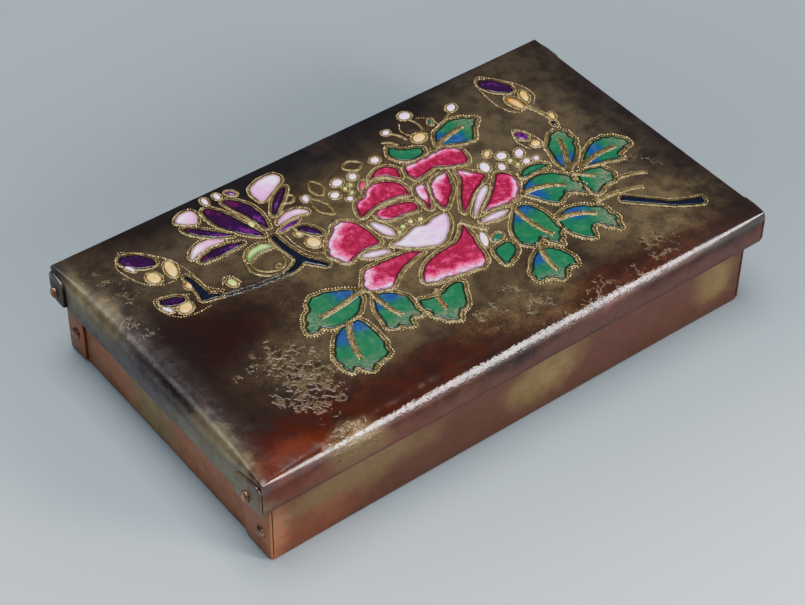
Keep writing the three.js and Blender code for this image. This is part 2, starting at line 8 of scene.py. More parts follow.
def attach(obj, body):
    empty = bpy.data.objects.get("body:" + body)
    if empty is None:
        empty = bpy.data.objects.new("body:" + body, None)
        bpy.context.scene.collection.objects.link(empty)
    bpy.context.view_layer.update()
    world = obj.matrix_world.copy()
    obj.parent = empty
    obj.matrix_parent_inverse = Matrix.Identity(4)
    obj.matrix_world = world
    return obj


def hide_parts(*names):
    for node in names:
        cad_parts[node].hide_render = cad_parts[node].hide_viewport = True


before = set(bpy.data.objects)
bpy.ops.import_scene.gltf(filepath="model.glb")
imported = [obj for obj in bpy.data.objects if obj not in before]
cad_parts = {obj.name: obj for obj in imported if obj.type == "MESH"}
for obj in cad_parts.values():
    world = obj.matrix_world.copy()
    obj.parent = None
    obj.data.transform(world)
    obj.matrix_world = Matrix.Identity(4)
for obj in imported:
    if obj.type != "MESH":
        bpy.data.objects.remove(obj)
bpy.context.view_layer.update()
mm = 0.001
print("frame loaded")


# Camera, floor and light

view = {
    "azimuth": -37.934, "elevation": 43.501, "roll": 0.792,  # in degrees
    "target": (-9.54, -7.16, 19.2), "distance": 706.3,  # in millimetres
    "lens": 97.71, "sensor": 36.0,
}


def intoScene(name, data):
    thing = bpy.data.objects.new(name, data)
    bpy.context.scene.collection.objects.link(thing)
    return thing


def aim(thing, azimuth, elevation):
    # turns a thing towards its target, and returns the direction from the target to it
    turn, tilt = math.radians(azimuth), math.radians(elevation)
    away = Vector((math.sin(turn) * math.cos(tilt), -math.cos(turn) * math.cos(tilt), math.sin(tilt)))
    thing.rotation_mode = "QUATERNION"
    thing.rotation_quaternion = (-away).to_track_quat("-Z", "Y")
    return away


def makeCamera():
    data = bpy.data.cameras.new("camera")
    data.lens, data.sensor_width = view["lens"], view["sensor"]
    data.clip_start, data.clip_end = 0.05, 20.0
    camera = intoScene("camera", data)
    away = aim(camera, view["azimuth"], view["elevation"])
    camera.location = (Vector(view["target"]) + away * view["distance"]) * mm
    roll = Quaternion((0, 0, 1), math.radians(view["roll"]))
    camera.rotation_quaternion = camera.rotation_quaternion @ roll
    bpy.context.scene.camera = camera


studio = {
    "worldColour": (0.76, 0.86, 0.96), "worldStrength": 0.15,
    # the floor's near and far colours make a painted falloff of light, darker towards the back
    "floorSize": 4.0, "floorNear": (0.43, 0.5, 0.555), "floorFar": (0.19, 0.235, 0.265),
    # the first colour here is that of a painted shadow on the floor round the box
    "floorPaintedShadow": (0.12, 0.15, 0.17), "floorRoughness": 0.6,
    # name, azimuth from the front towards the right and elevation in degrees, distance and size in metres,
    # watts and colour
    "lamps": [
        ("front lamp", 29, 22, 1.4, 0.44, 36.0, (1.0, 0.995, 0.99)),
        ("left lamp", 217, 42, 1.5, 0.4, 2.2, (0.86, 0.93, 1.0)),
        ("top lamp", 195, 83, 1.5, 0.9, 36.0, (0.97, 0.985, 1.0)),
        ("fill lamp", 322, 62, 1.5, 1.3, 8.0, (1.0, 1.0, 1.0)),
    ],
}


def makeStudio():
    world = bpy.data.worlds.new("room")
    world.use_nodes = True
    background = world.node_tree.nodes["Background"]
    background.inputs["Color"].default_value = (*studio["worldColour"], 1)
    background.inputs["Strength"].default_value = studio["worldStrength"]
    bpy.context.scene.world = world
    for name, azimuth, elevation, distance, size, watts, colour in studio["lamps"]:
        data = bpy.data.lights.new(name, "AREA")
        data.shape, data.size, data.energy, data.color = "SQUARE", size, watts, colour
        lamp = intoScene(name, data)
        lamp.location = aim(lamp, azimuth, elevation) * distance


makeCamera()
makeStudio()
print("camera and lamps ready")


# Sizes of the box, in millimetres, as the solids have them

sheet = 0.9
bendFade = 3.5  # how late along an edge its bend tightens towards the corners
sharpestBend = 0.2  # the least radius of a bend's inner face
lid = {"halfX": 100, "halfY": 58.6, "topZ": 37, "rimZ": 24.2, "crown": 0.8,
       "midBend": 6.5, "farBend": 0.9, "cornerBend": 0.6}
tray = {"halfX": 94.74, "halfY": 57.2, "centreX": -1.21, "height": 32.2, "crown": 0,
        "midBend": 1.4, "farBend": 1.4, "cornerBend": 0.6}


def bendRadius(pan, along, side):
    # the left and front edges are bent wider than the other two
    middle = pan["midBend"] if side < 0 else pan["farBend"]
    return pan["cornerBend"] + (middle - pan["cornerBend"]) * (1 - min(abs(along), 1) ** bendFade)


def bendDrop(inset, radius):
    return radius - math.sqrt(max(radius ** 2 - (radius - inset) ** 2, 0)) if inset < radius else 0


def panHeight(pan, x, y):
    u, v = x / pan["halfX"], y / pan["halfY"]
    dome = pan["crown"] * (1 - u * u) * (1 - v * v)
    ends = bendDrop(pan["halfX"] - abs(x), bendRadius(pan, v, x))
    sides = bendDrop(pan["halfY"] - abs(y), bendRadius(pan, u, y))
    return dome - ends - sides


def onLid(x, y, lift=0):
    return (x, y, lid["topZ"] + panHeight(lid, x, y) + lift)


# Mesh helpers

def newMesh(name, points, edges, faces, attributes=None):
    data = bpy.data.meshes.new(name)
    data.from_pydata([(x * mm, y * mm, z * mm) for x, y, z in points], edges, faces)
    for label, values in (attributes or {}).items():
        data.attributes.new(label, "FLOAT", "POINT").data.foreach_set("value", values)
    return data


def makePiece(name, points, faces, material, attributes=None):
    data = newMesh(name, points, [], faces, attributes)
    data.polygons.foreach_set("use_smooth", [True] * len(data.polygons))
    data.materials.append(material)
    data.update()
    return intoScene(name, data)


def settle(piece, slot, *nodes):
    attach(piece, "root")
    if nodes:
        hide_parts(*nodes)
    return piece


# Outlines of the figures on the lid, anticlockwise, seen from above

def within(value):
    return min(max(value, 0), 1)


def chordPlace(line, x, y):
    # how far along a line's chord a point lies: 0 at its start and 1 at its end
    (ax, ay), (bx, by) = line["from"], line["to"]
    return ((x - ax) * (bx - ax) + (y - ay) * (by - ay)) / ((bx - ax) ** 2 + (by - ay) ** 2)


def bowed(ax, ay, bx, by, bow=0, **more):
    return {"from": (ax, ay), "to": (bx, by), "bow": bow, **more}


def strip(ax, ay, bx, by, startWidth, endWidth, bow=0):
    return bowed(ax, ay, bx, by, bow, startWidth=startWidth, endWidth=endWidth)


def arcOutline(corners, scallops):
    # each corner has its x and y, and the bow of the side that follows: how far its arc rises over its
    # length, outwards positive; scallops are on one side, and have a count and a depth
    scalloped, waves, depth = scallops
    points, sides = [], []
    for side, (ax, ay, bow) in enumerate(corners):
        bx, by, _ = corners[(side + 1) % len(corners)]
        dx, dy = bx - ax, by - ay
        length = math.hypot(dx, dy)
        count = waves if side == scalloped else 0
        steps = max(3, round(length / 0.6), 8 * count)
        for step in range(steps):
            t = step / steps
            out = 4 * t * (1 - t) * bow * length + depth * abs(math.sin(math.pi * count * t))
            points.append((ax + dx * t + dy / length * out, ay + dy * t - dx / length * out))
            sides.append(side)
    return points, sides


def besideLine(line, t, side):
    # a point t along a bowed line and some way to its left
    (ax, ay), (bx, by) = line["from"], line["to"]
    dx, dy, bow = bx - ax, by - ay, line["bow"]
    length = math.hypot(dx, dy)
    nx, ny = -dy / length, dx / length
    tx, ty = dx + nx * 4 * (1 - 2 * t) * bow, dy + ny * 4 * (1 - 2 * t) * bow
    tangent = math.hypot(tx, ty)
    lift = 4 * t * (1 - t) * bow
    return (ax + dx * t + nx * lift - ty / tangent * side, ay + dy * t + ny * lift + tx / tangent * side)


def budOutline(bud, steps=36):
    # widest at full, with its base and tip from round (1) to pointed (2)
    full, base, tip = bud.get("full", 0.5), bud.get("base", 1.4), bud.get("tip", 1.1)
    points = []
    for k in range(steps):
        angle = 2 * math.pi * k / steps
        c, s = math.cos(angle), math.sin(angle)
        power, reach = (base, full) if c > 0 else (tip, 1 - full)
        along = full - math.copysign(abs(c) ** power, c) * reach
        points.append(besideLine(bud, along, -math.copysign(abs(s) ** power, s) * bud["width"] / 2))
    return points


def widthAt(line, t):
    return line["startWidth"] + (line["endWidth"] - line["startWidth"]) * t


def stripOutline(line, steps=24):
    right, left = [], []
    for k in range(steps + 1):
        t = k / steps
        half = widthAt(line, t) / 2
        right.append(besideLine(line, t, -half))
        left.insert(0, besideLine(line, t, half))
    return right + left


def evenLoop(points, spacing, closed=True):
    ends = points + points[:1] if closed else points
    lengths = [0]
    for (ax, ay), (bx, by) in zip(ends, ends[1:]):
        lengths.append(lengths[-1] + math.hypot(bx - ax, by - ay))
    count = max(3, round(lengths[-1] / spacing))
    result, k = [], 0
    for step in range(count if closed else count + 1):
        target = lengths[-1] * step / count
        while k < len(lengths) - 2 and lengths[k + 1] < target:
            k += 1
        t = (target - lengths[k]) / max(lengths[k + 1] - lengths[k], 1e-6)
        (ax, ay), (bx, by) = ends[k], ends[k + 1]
        result.append((ax + (bx - ax) * t, ay + (by - ay) * t))
    return result


def softenLoop(points, passes=1):
    for _ in range(passes):
        following = points[1:] + points[:1]
        points = [tuple((before[i] + 2 * at[i] + after[i]) / 4 for i in (0, 1))
                  for before, at, after in zip(points[-1:] + points[:-1], points, following)]
    return points


def outwards(points):
    count, result = len(points), []
    for k in range(count):
        (px, py), (qx, qy) = points[k - 1], points[(k + 1) % count]
        length = max(math.hypot(qx - px, qy - py), 1e-6)
        result.append(((qy - py) / length, -(qx - px) / length))
    return result


def treeOf(points):
    tree = kdtree.KDTree(max(len(points), 1))
    for k, (x, y) in enumerate(points):
        tree.insert((x, y, 0), k)
    tree.balance()
    return tree


def distanceTo(tree, x, y):
    found = tree.find((x, y, 0))
    return found[2] if found[2] is not None else 1e6


loopStep = 0.4  # between the points of a cell's outline


def cleanLoop(points, passes=1):
    return softenLoop(evenLoop(points, loopStep), passes)


def offsetLoop(points, distance):
    # an outline moved outwards, without the points that would fold over
    tree = treeOf(points)
    moved = [(x + nx * distance, y + ny * distance) for (x, y), (nx, ny) in zip(points, outwards(points))]
    kept = [(x, y) for x, y in moved if distanceTo(tree, x, y) > 0.93 * abs(distance)]
    return cleanLoop(kept, 2)


# The picture on the lid: peony, magnolia, leaves and buds. Pale sides of a petal and how far the pale
# reaches in; deep and blue spots with their reach; the vein of a leaf.

peonyPetals = {
    "left": {"corners": [(-10.6, 3.2, 0.05), (-11, 15, 0.1), (-15.3, 19.4, 0.02), (-25.6, 11.4, 0.15),
        (-24, 1.8, -0.1)], "pale": ([2, 3], 4.4), "scallops": (2, 2, 0.7)},
    "lower_left": {"corners": [(-2.2, -8.2, 0.1), (-8, -5, 0.02), (-22.5, -4.2, 0.08), (-27.4, -11.4, 0.12),
        (-19, -14.8, -0.1)], "pale": ([2, 3], 4.8)},
    "bottom": {"corners": [(16, -5, -0.08), (8.5, -11.2, 0.05), (-3.5, -12.7, 0.1), (-10.2, -19.4, 0.03),
        (10.8, -24, 0.1), (13.2, -17, 0.04)], "pale": ([3], 4.8), "scallops": (3, 3, 0.9)},
    "top_left": {"corners": [(-8, 16.6, -0.12), (10.8, 16.8, 0.15), (11.8, 23.6, 0.12), (4.6, 28, -0.02),
        (-6.2, 22, 0.06)], "pale": ([3], 2.1), "scallops": (3, 2, 0.8)},
    "heart": {"corners": [(-0.8, 10.4, -0.05), (8.8, 8.8, 0.1), (9.8, 13, 0.08), (1, 16.3, 0.08),
        (-4.2, 15, 0.06)], "pale": ([3, 4], 1.3)},
    "top": {"corners": [(5.6, 30.6, 0.02), (11.8, 29, 0.12), (14.2, 25, 0), (16, 29.6, 0.1),
        (12.4, 33.4, 0.08)], "pale": ([0], 1)},
    "top_right": {"corners": [(17.8, 21.8, 0.06), (26.4, 23.4, 0.04), (36.6, 18.2, 0.12), (39, 25.8, 0.1),
        (35, 28.6, 0), (18.4, 28.2, 0.14)], "pale": ([4, 3], 2.4), "scallops": (4, 2, 0.5)},
    "inner_left": {"corners": [(11.6, 5.5, 0.02), (15.2, 11, 0.04), (17.8, 17.4, 0.2), (14.6, 18.6, 0.05),
        (13.2, 13, -0.04)], "pale": ([2, 3], 5.6)},
    "inner_middle": {"corners": [(16.4, 4.2, 0.03), (24.5, 11, 0.04), (28, 19.6, -0.05), (21, 17.4, 0.1),
        (17, 10, 0.04)], "pale": ([2, 3], 3.6)},
    "inner_right": {"corners": [(19.4, -1.6, 0.02), (28.5, 5, 0.03), (37.6, 9.6, 0.12), (34, 13.6, -0.08),
        (32.6, 17.8, 0.2), (30.6, 13.4, 0.02)], "pale": ([3, 4], 2.4)},
    "right": {"corners": [(26.2, -4.2, 0.02), (38, -5.9, 0.08), (44.6, 3.4, 0.22), (40.4, 7.7, -0.04)],
        "pale": ([1, 0], 2.4)},
}

palePetals = {
    "middle": {"corners": [(-8, 0.2, 0.08), (4.8, -8.4, 0.12), (15.2, 2.6, 0), (10, 2.6, -0.06),
        (6.6, 1.2, 0.04), (2.5, 2.6, -0.04)], "deep": (13, -1, 20)},
    "left": bowed(-10.2, -1.6, -19.2, 1.8, width=2.6, full=0.55, base=1),
    "upper_left": bowed(-4.6, 3.4, -7.4, 13, width=3.4, full=0.42, base=1.1),
    "right": bowed(21.8, -4.6, 34.6, 5.2, 0.6, width=2.5, full=0.66, base=1.5),
    "lower_right": bowed(21.5, -8, 32.6, -8.6, width=2.6, tip=1.3),
}

leaves = {
    "left_upper": {"corners": [(-29.6, -10.6, 0.08), (-39, -4.6, 0.03), (-46, -4.6, -0.1),
        (-45.6, -7.2, 0.1), (-53, -16.4, -0.1), (-46.6, -18.6, 0.1), (-36, -18.4, 0.1)],
        "blue": [(-33, -7.5, 6), (-30.5, -11, 3)], "vein": bowed(-28, -10.4, -46, -13, 0.6)},
    "left_lower": {"corners": [(-37, -20.6, 0.05), (-44.5, -21, 0.12), (-53, -33, 0.05), (-52, -38, 0),
        (-49.6, -35.8, -0.06), (-47, -42, -0.06), (-44.6, -38.6, 0.1), (-38, -37.4, 0), (-36.6, -32, 0.05)],
        "blue": [(-46, -23.5, 5), (-38, -22, 5)], "vein": bowed(-40, -19.5, -46.4, -34.5, -1)},
    "left_inner": {"corners": [(-26.2, -15, 0.05), (-30, -20, 0.05), (-31.4, -31.4, -0.05),
        (-28.4, -29.6, -0.04), (-25, -33.2, -0.06), (-23.4, -28.6, 0), (-20, -29.6, 0.05),
        (-19, -22, 0.15)], "blue": [(-22.6, -17, 5), (-28.4, -18, 4)],
        "vein": bowed(-26.8, -13.5, -25.2, -27, -0.7)},
    "bottom": {"corners": [(-11.6, -26.5, -0.1), (-16.6, -25, 0.15), (-17, -32, 0.12), (-11.4, -39.2, -0.1),
        (-9.4, -35.8, 0), (-5, -35.4, -0.04), (-0.6, -26.4, 0.1), (-5.6, -25.6, -0.1)],
        "vein": bowed(-9.6, -24.4, -12, -33, -0.8)},
    "right_lower": {"corners": [(35.4, -9.6, 0.1), (31, -13, 0.12), (25.6, -24, 0.08), (28.6, -26.6, 0.04),
        (32.4, -24.6, -0.06), (36, -31.8, -0.06), (38.4, -28.4, 0.1), (40.8, -20, 0.1), (38.6, -9.8, 0.05)],
        "blue": [(31.6, -11, 5.5), (37, -10, 5)], "vein": bowed(35, -6.6, 36.6, -26.4, -1.4)},
    "right": {"corners": [(41.6, -5, 0.05), (44, -9, 0.1), (48.4, -15.6, 0.02), (53, -12.6, -0.06),
        (58.8, -16.8, 0.1), (58.8, -5, 0.1), (51, -0.8, 0.12)], "blue": [(44, -4, 5), (44, -8, 5.5)],
        "vein": bowed(40.5, -5.2, 55.6, -10, 1.8)},
    "right_tip": bowed(46.4, 1.4, 57.6, 1.2, 1.6, width=3.4, base=1.3, tip=1.2),
    "far_lower": {"corners": [(43.4, -20.6, 0.1), (42, -28, 0.12), (46.8, -35.2, -0.04), (50, -30, -0.06),
        (56.4, -36.4, 0.1), (58, -25.4, 0.1), (50.6, -19.8, 0.08)], "blue": [(49.5, -21, 6)],
        "vein": bowed(41.8, -21.6, 54.6, -27, 1.6)},
    "lowest": {"corners": [(29.4, -29, 0.08), (22, -33.6, 0.1), (18.8, -40.6, -0.04), (22.6, -40.4, -0.06),
        (27, -45.4, -0.05), (29.6, -40.6, 0), (33.8, -41.6, 0.05), (34.6, -36, 0.1)],
        "blue": [(25, -31.5, 4.5)], "vein": bowed(29.6, -27.6, 27, -40, -0.8)},
    "small_lower": {"corners": [(16.4, -21, 0.02), (15.4, -28.6, 0.04), (22.6, -25, 0.14),
        (22.4, -20.2, 0.05)]},
    "far_upper": {"corners": [(61.6, -4, 0), (66, -2, 0.06), (72.6, 5, 0.06), (73.6, 13.2, 0.1),
        (68, 12.2, 0.1), (62, 3, 0.08)], "blue": [(62.5, 0, 4), (66, -1, 4.5)],
        "vein": bowed(61, -5.6, 69.6, 9.4, -0.6)},
    "far_right": {"corners": [(66.6, -6, 0.02), (76, -8.6, 0.05), (80.6, -10, -0.1), (80.6, -7.6, 0.05),
        (87, -5.6, 0.14), (84, 1, 0.06), (77, 1.4, 0.05)], "blue": [(75.4, -1.5, 4), (70, -7, 4)],
        "vein": bowed(65.4, -6.4, 82.4, -4.4, 1.2)},
    "far_inner": {"corners": [(62.4, -8.4, 0.08), (61.4, -20, -0.06), (65.6, -17.6, 0.02),
        (71.4, -17.4, 0.12), (71.6, -10.4, 0.1), (67, -8.4, 0.06)], "vein": bowed(61.6, -7, 67, -12.4)},
    "top_small": {"corners": [(22, 31, 0.1), (27.6, 30.6, 0.08), (29.4, 33.6, 0.05), (25.6, 35.4, -0.1),
        (20.6, 40.6, 0.12), (18.4, 36, 0.12)]},
    "top": {"corners": [(34.8, 31.8, 0.06), (41.8, 27.8, 0.08), (47, 27, 0.05), (49.6, 31.4, -0.06),
        (54.4, 34.6, 0.06), (47.6, 39, 0.06), (38, 37, 0.06)], "blue": [(36, 34, 5.5), (42, 30, 4)],
        "vein": bowed(31.8, 30.4, 47.4, 34.6, 0.6)},
}

magnoliaPetals = {
    "tall_left": bowed(-38, 28.4, -46.4, 51.4, 1.2, glass="violet", width=6.2, full=0.62),
    "tall_right": bowed(-35.4, 31, -39.4, 51, -2.2, glass="violet", width=4.6, full=0.6),
    "upper_right": {"glass": "rose", "corners": [(-29.2, 43, 0.04), (-24.6, 45, 0.04), (-18.2, 48.6, 0.2),
        (-18.6, 52.4, 0.1), (-29, 50.4, 0.06)], "deep": (-29.5, 44, 12)},
    "slender_right": bowed(-30.4, 34.6, -18.8, 45, 0.6, glass="violet", width=2.8, full=0.6),
    "right": {"glass": "rose", "corners": [(-31.6, 30.4, -0.1), (-20, 29.4, 0.18), (-25.6, 33.6, 0.1)],
        "deep": (-31, 30.5, 10)},
    "upper_left": {"glass": "rose", "corners": [(-52, 47, 0.1), (-50, 52.6, 0.2), (-55.6, 52.8, 0.1),
        (-57.4, 51, 0.05)], "deep": (-51, 48, 6)},
    "slender_left": bowed(-45.4, 34.4, -57.6, 47.6, 0.8, glass="violet", width=3, full=0.6),
    "left": {"glass": "rose", "corners": [(-63.4, 33, -0.02), (-56, 35.2, -0.02), (-49.4, 34.4, 0.1),
        (-56, 38.2, 0.14)], "deep": (-50, 34, 11)},
    "lower_left": bowed(-45.4, 30, -61.6, 30.6, -0.8, glass="violet", width=3.6, full=0.6),
    "calyx": {"glass": "jade", "corners": [(-49.4, 21.2, -0.14), (-38.6, 22.4, 0.2), (-43.4, 26.2, 0.2)]},
}

buds = {
    "far_left_tip": bowed(-73, 38.6, -81.8, 47.2, glass="violet", width=6, base=1.1),
    "left_tip": bowed(-74.4, 19.4, -82, 23, 0.6, glass="violet", width=4, base=1.2),
    "stem_tip": bowed(-23, 17.6, -27.8, 25.4, -0.6, glass="violet", width=3.2, base=1.2),
    "far_right_tip": bowed(74, 39.4, 67.2, 50.4, glass="violet", width=6, base=1.1, tip=1),
    "far_right_scale": bowed(71, 29.6, 69.6, 37.6, glass="cream", width=3.4, base=1.1),
}

twigs = {
    "magnolia_twig": [strip(-36.2, 27, -35, 12, 1.6, 2.6, -0.6),
        strip(-34.4, 13.4, -43, 9.6, 2.6, 1.2, 0.8), strip(-35.4, 12.8, -30, 4.6, 2.8, 1.4)],
    "left_bud_twig": [strip(-64.6, 14, -70.6, 16.6, 1.2, 3), strip(-69, 15, -69.2, 28, 3, 1.2, -0.4)],
    "peony_twig": [strip(66, -26, 78, -37.6, 2.6, 1.8), strip(77.2, -37, 87.6, -42.4, 1.8, 3.2, -0.4)],
}

armLine = strip(-42, 10, -65, 13.8, 1.8, 2.2, 0.6)
bareLines = [strip(72, 30, 74.4, 16.6, 2, 1.4, 1), strip(72, -17.4, 82, -21, 1.8, 1.2, 0.8),
             strip(58, -22, 76, -25.6, 2, 1.2, 1), strip(16, -4, 21, -12, 2.4, 1.6)]

# small drops of glass: place, length, width and turn in degrees
drops = {
    "blush": [(-4, 36, 3.8, 3.1, 10), (-8.3, 31.3, 3, 2.8, 0), (-5.3, 27, 2, 2, 0), (2, 35.5, 3, 2.6, 60),
        (13, 38, 3, 2.8, 0), (-17, 35.7, 3, 2, 70), (24.8, 47.5, 2.4, 2.2, 0), (35.5, 51, 4.2, 3.6, 0),
        (51, 45, 4, 2.8, 35), (48.3, 14.3, 3.5, 3.4, 0), (54, 12, 4, 2.8, 45), (44.7, 9.7, 3.2, 2.5, 75),
        (53.3, 7.2, 2.7, 2.3, 40), (57, 6.6, 2, 1.8, 0), (40, 13, 5, 3.3, 70), (-44, 54.6, 3.4, 1.7, 85),
        (-39.4, 54.3, 3, 1.8, 95), (-80.9, 41.6, 4, 1.4, 110), (-81.6, 18.8, 4, 1.3, 115),
        (17.2, -14.9, 7, 2.3, 66)],
    "cream": [(-77.2, 33.4, 5.4, 3.9, 100), (-70.6, 33.7, 7.8, 3.5, 78), (-76.6, 16, 4.8, 3.9, 30),
        (-27.4, 16.6, 4.9, 3.9, 110), (-28.9, 22.8, 2.2, 1.5, 120), (61.8, 12.6, 3.2, 3, 0),
        (75.4, 35, 6, 2.4, 72), (-70.3, 23.8, 3, 2.2, 80), (76, 21, 3.2, 1.8, 75), (45, 18, 3.4, 1.9, 40),
        (32.2, 38.6, 5, 4, 20)],
    "jade": [(-38.3, 35.8, 3.5, 2, 80), (-58.8, 16.7, 3.6, 2.4, 100), (-3.7, 32, 1.4, 1.4, 0),
        (-1.2, 32.4, 1.3, 1.3, 0), (-3, 29.2, 1.3, 1.3, 0), (49, 10.6, 1.8, 1.6, 0),
        (49.8, 7.6, 1.5, 1.4, 0), (0, 5.5, 1.8, 1.5, 20), (3.5, 6, 1.7, 1.5, 0), (6.8, 5, 2, 1.5, 20),
        (-2.6, 3.9, 1.5, 1.3, 0)],
    "violet": [(60.6, 18.6, 5.2, 3.6, 100), (-34.8, 53, 4, 2, 125), (-29, 28.1, 9.5, 1.7, 8)],
    "green": [(21.4, -16.6, 4.6, 2.6, 20), (40.6, 43, 3, 1.4, 60)],
    "crimson": [(1.8, 29.8, 5, 1.7, 48)],
    "navy": [(74, 17.4, 3.4, 1.6, 80)],
}

# rows of beads that run on their own, smooth through their points; one that ends where it starts is closed
beadedLines = [
    [(-72, 28.4), (-76.5, 29), (-81, 32.6), (-83.6, 39), (-84, 45), (-80, 50)],
    [(-79, 49.8), (-74.4, 45.6), (-69.6, 39.4), (-67.2, 33), (-66.4, 26), (-66, 20), (-62.6, 15.6)],
    [(-70, 12.2), (-75.6, 12), (-80.6, 14), (-83.6, 19.5), (-82.7, 24.8), (-77, 23.4), (-72.4, 20.4)],
    [(-32.6, 25), (-32.6, 19), (-31, 13.4), (-28, 11), (-25, 12.6), (-23, 15.6)],
    [(69, 28.6), (66, 31), (64.4, 37), (65, 46), (66.6, 51.8), (70, 52.6), (74.4, 47), (78.2, 40),
     (78.6, 33.6), (75.4, 30)],
    [(58.4, 11.4), (57.2, 17), (60, 22.8), (63.4, 18), (64.2, 12), (62, 10)],
    [(-61.8, 17.6), (-59.6, 20.2), (-57, 19), (-56.4, 15.4)],
    [(38, 47.6), (40.6, 45.4), (41.8, 41), (41, 39.4)],
    [(31, 48.2), (29.4, 45.4), (30, 42), (33, 41)],
]
# bare ridges in the same terms
bareRidges = [
    [(-50.4, 21.4), (-51, 17), (-48.6, 13), (-43.6, 11.2), (-38.8, 12.6), (-36.9, 17), (-38.6, 21.6)],
    [(-49, 20.4), (-49.2, 17), (-47.2, 14.4), (-43.4, 12.9), (-40, 14), (-38.7, 17.2)],
    [(-43.6, 14.2), (-42.4, 15.2), (-41.4, 14.2), (-42.4, 13.2), (-43.6, 14.2)],
    [(25.4, 46.4), (27.4, 43.6), (28.4, 40)],
    [(49.6, 43.6), (45.8, 41.6), (42.8, 39.8)],
    [(35.4, 49.2), (36.4, 45), (35.8, 41)],
    [(-15, 34), (-12.8, 29), (-14, 24), (-17, 28), (-16.6, 33), (-15, 34)],
    [(-10.6, 42), (-13.4, 38), (-11.6, 34), (-8.6, 37.4), (-10.6, 42)],
    [(2, 41), (5.4, 43), (8.6, 39.4), (5, 37.6), (2, 41)],
    [(-27, 41), (-24, 38), (-20.6, 37.4), (-19.6, 40), (-22.6, 42), (-27, 41)],
    [(20.2, 44), (23, 42.2), (24.2, 39.4)],
]


# Building blocks for materials; their patterns are laid out in millimetres

def newNode(tree, kind, inputs=None, **settings):
    node = tree.nodes.new(kind)
    for label, value in settings.items():
        setattr(node, label, value)
    for label, value in (inputs or {}).items():
        if isinstance(value, bpy.types.NodeSocket):
            tree.links.new(value, node.inputs[label])
        else:
            node.inputs[label].default_value = value
    return node


def wire(tree, kind, inputs=None, **settings):
    return newNode(tree, kind, inputs, **settings).outputs[0]


def newMaterial(name, **sockets):
    material = bpy.data.materials.new(name)
    material.use_nodes = True
    tree = material.node_tree
    shader = tree.nodes["Principled BSDF"]
    for label, value in sockets.items():
        shader.inputs[label].default_value = value
    coordinates = newNode(tree, "ShaderNodeTexCoord").outputs["Object"]
    return material, tree, shader, scaled(tree, coordinates, 1 / mm)


def colour(*levels):
    # a colour as it looks on a screen, 0 to 255, made linear for the shader
    return tuple(c / 255 / 12.92 if c < 10 else ((c / 255 + 0.055) / 1.055) ** 2.4 for c in levels) + (1,)


def sums(tree, operation, first, *others, clamp=False):
    for other in others:
        sockets = {0: first, 1: other}
        first = wire(tree, "ShaderNodeMath", sockets, operation=operation, use_clamp=clamp)
    return first


def plus(tree, *values):
    return sums(tree, "ADD", *values)


def times(tree, *values):
    return sums(tree, "MULTIPLY", *values)


def vectors(tree, operation, first, second):
    return wire(tree, "ShaderNodeVectorMath", {0: first, 1: second}, operation=operation)


def scaled(tree, vector, factor):
    return wire(tree, "ShaderNodeVectorMath", {0: vector, "Scale": factor}, operation="SCALE")


def mixed(tree, amount, first, second):
    sockets = {0: amount, 6: first, 7: second}
    return newNode(tree, "ShaderNodeMix", sockets, data_type="RGBA").outputs[2]


def between(tree, value, low, high, fromValue=0.0, toValue=1.0):
    sockets = {"Value": value, "From Min": low, "From Max": high, "To Min": fromValue, "To Max": toValue}
    return wire(tree, "ShaderNodeMapRange", sockets, interpolation_type="SMOOTHSTEP")


def speckle(tree, place, size, detail=3.0, roughness=0.55):
    sockets = {"Vector": place, "Scale": 1 / size, "Detail": detail, "Roughness": roughness}
    return newNode(tree, "ShaderNodeTexNoise", sockets).outputs["Fac"]


def warped(tree, place, size, amount):
    sockets = {"Vector": place, "Scale": 1 / size, "Detail": 3.0}
    drift = newNode(tree, "ShaderNodeTexNoise", sockets).outputs["Color"]
    centred = vectors(tree, "SUBTRACT", drift, (0.5, 0.5, 0.5))
    return vectors(tree, "ADD", place, scaled(tree, centred, amount))


platePatch = {"z": 36, "reach": 60}


def cloud(tree, place, centre, size, edge=0.5):
    # 1 inside a soft-edged patch, 0 outside; without a third measure the patch is on the lid's plate
    inside = vectors(tree, "SUBTRACT", place, (*centre, platePatch["z"])[:3])
    shape = vectors(tree, "DIVIDE", inside, (*size, platePatch["reach"])[:3])
    away = newNode(tree, "ShaderNodeVectorMath", {0: shape}, operation="LENGTH").outputs["Value"]
    return between(tree, away, 1 - edge, 1 + edge, 1.0, 0.0)


def addBump(tree, shader, *layers):
    # layers of height, strength and distance in millimetres, each on top of the one before
    normal = None
    for height, strength, distance in layers:
        sockets = {"Height": height, "Strength": strength, "Distance": distance * mm}
        if normal:
            sockets["Normal"] = normal
        normal = wire(tree, "ShaderNodeBump", sockets)
    tree.links.new(normal, shader.inputs["Normal"])


# Patinated copper

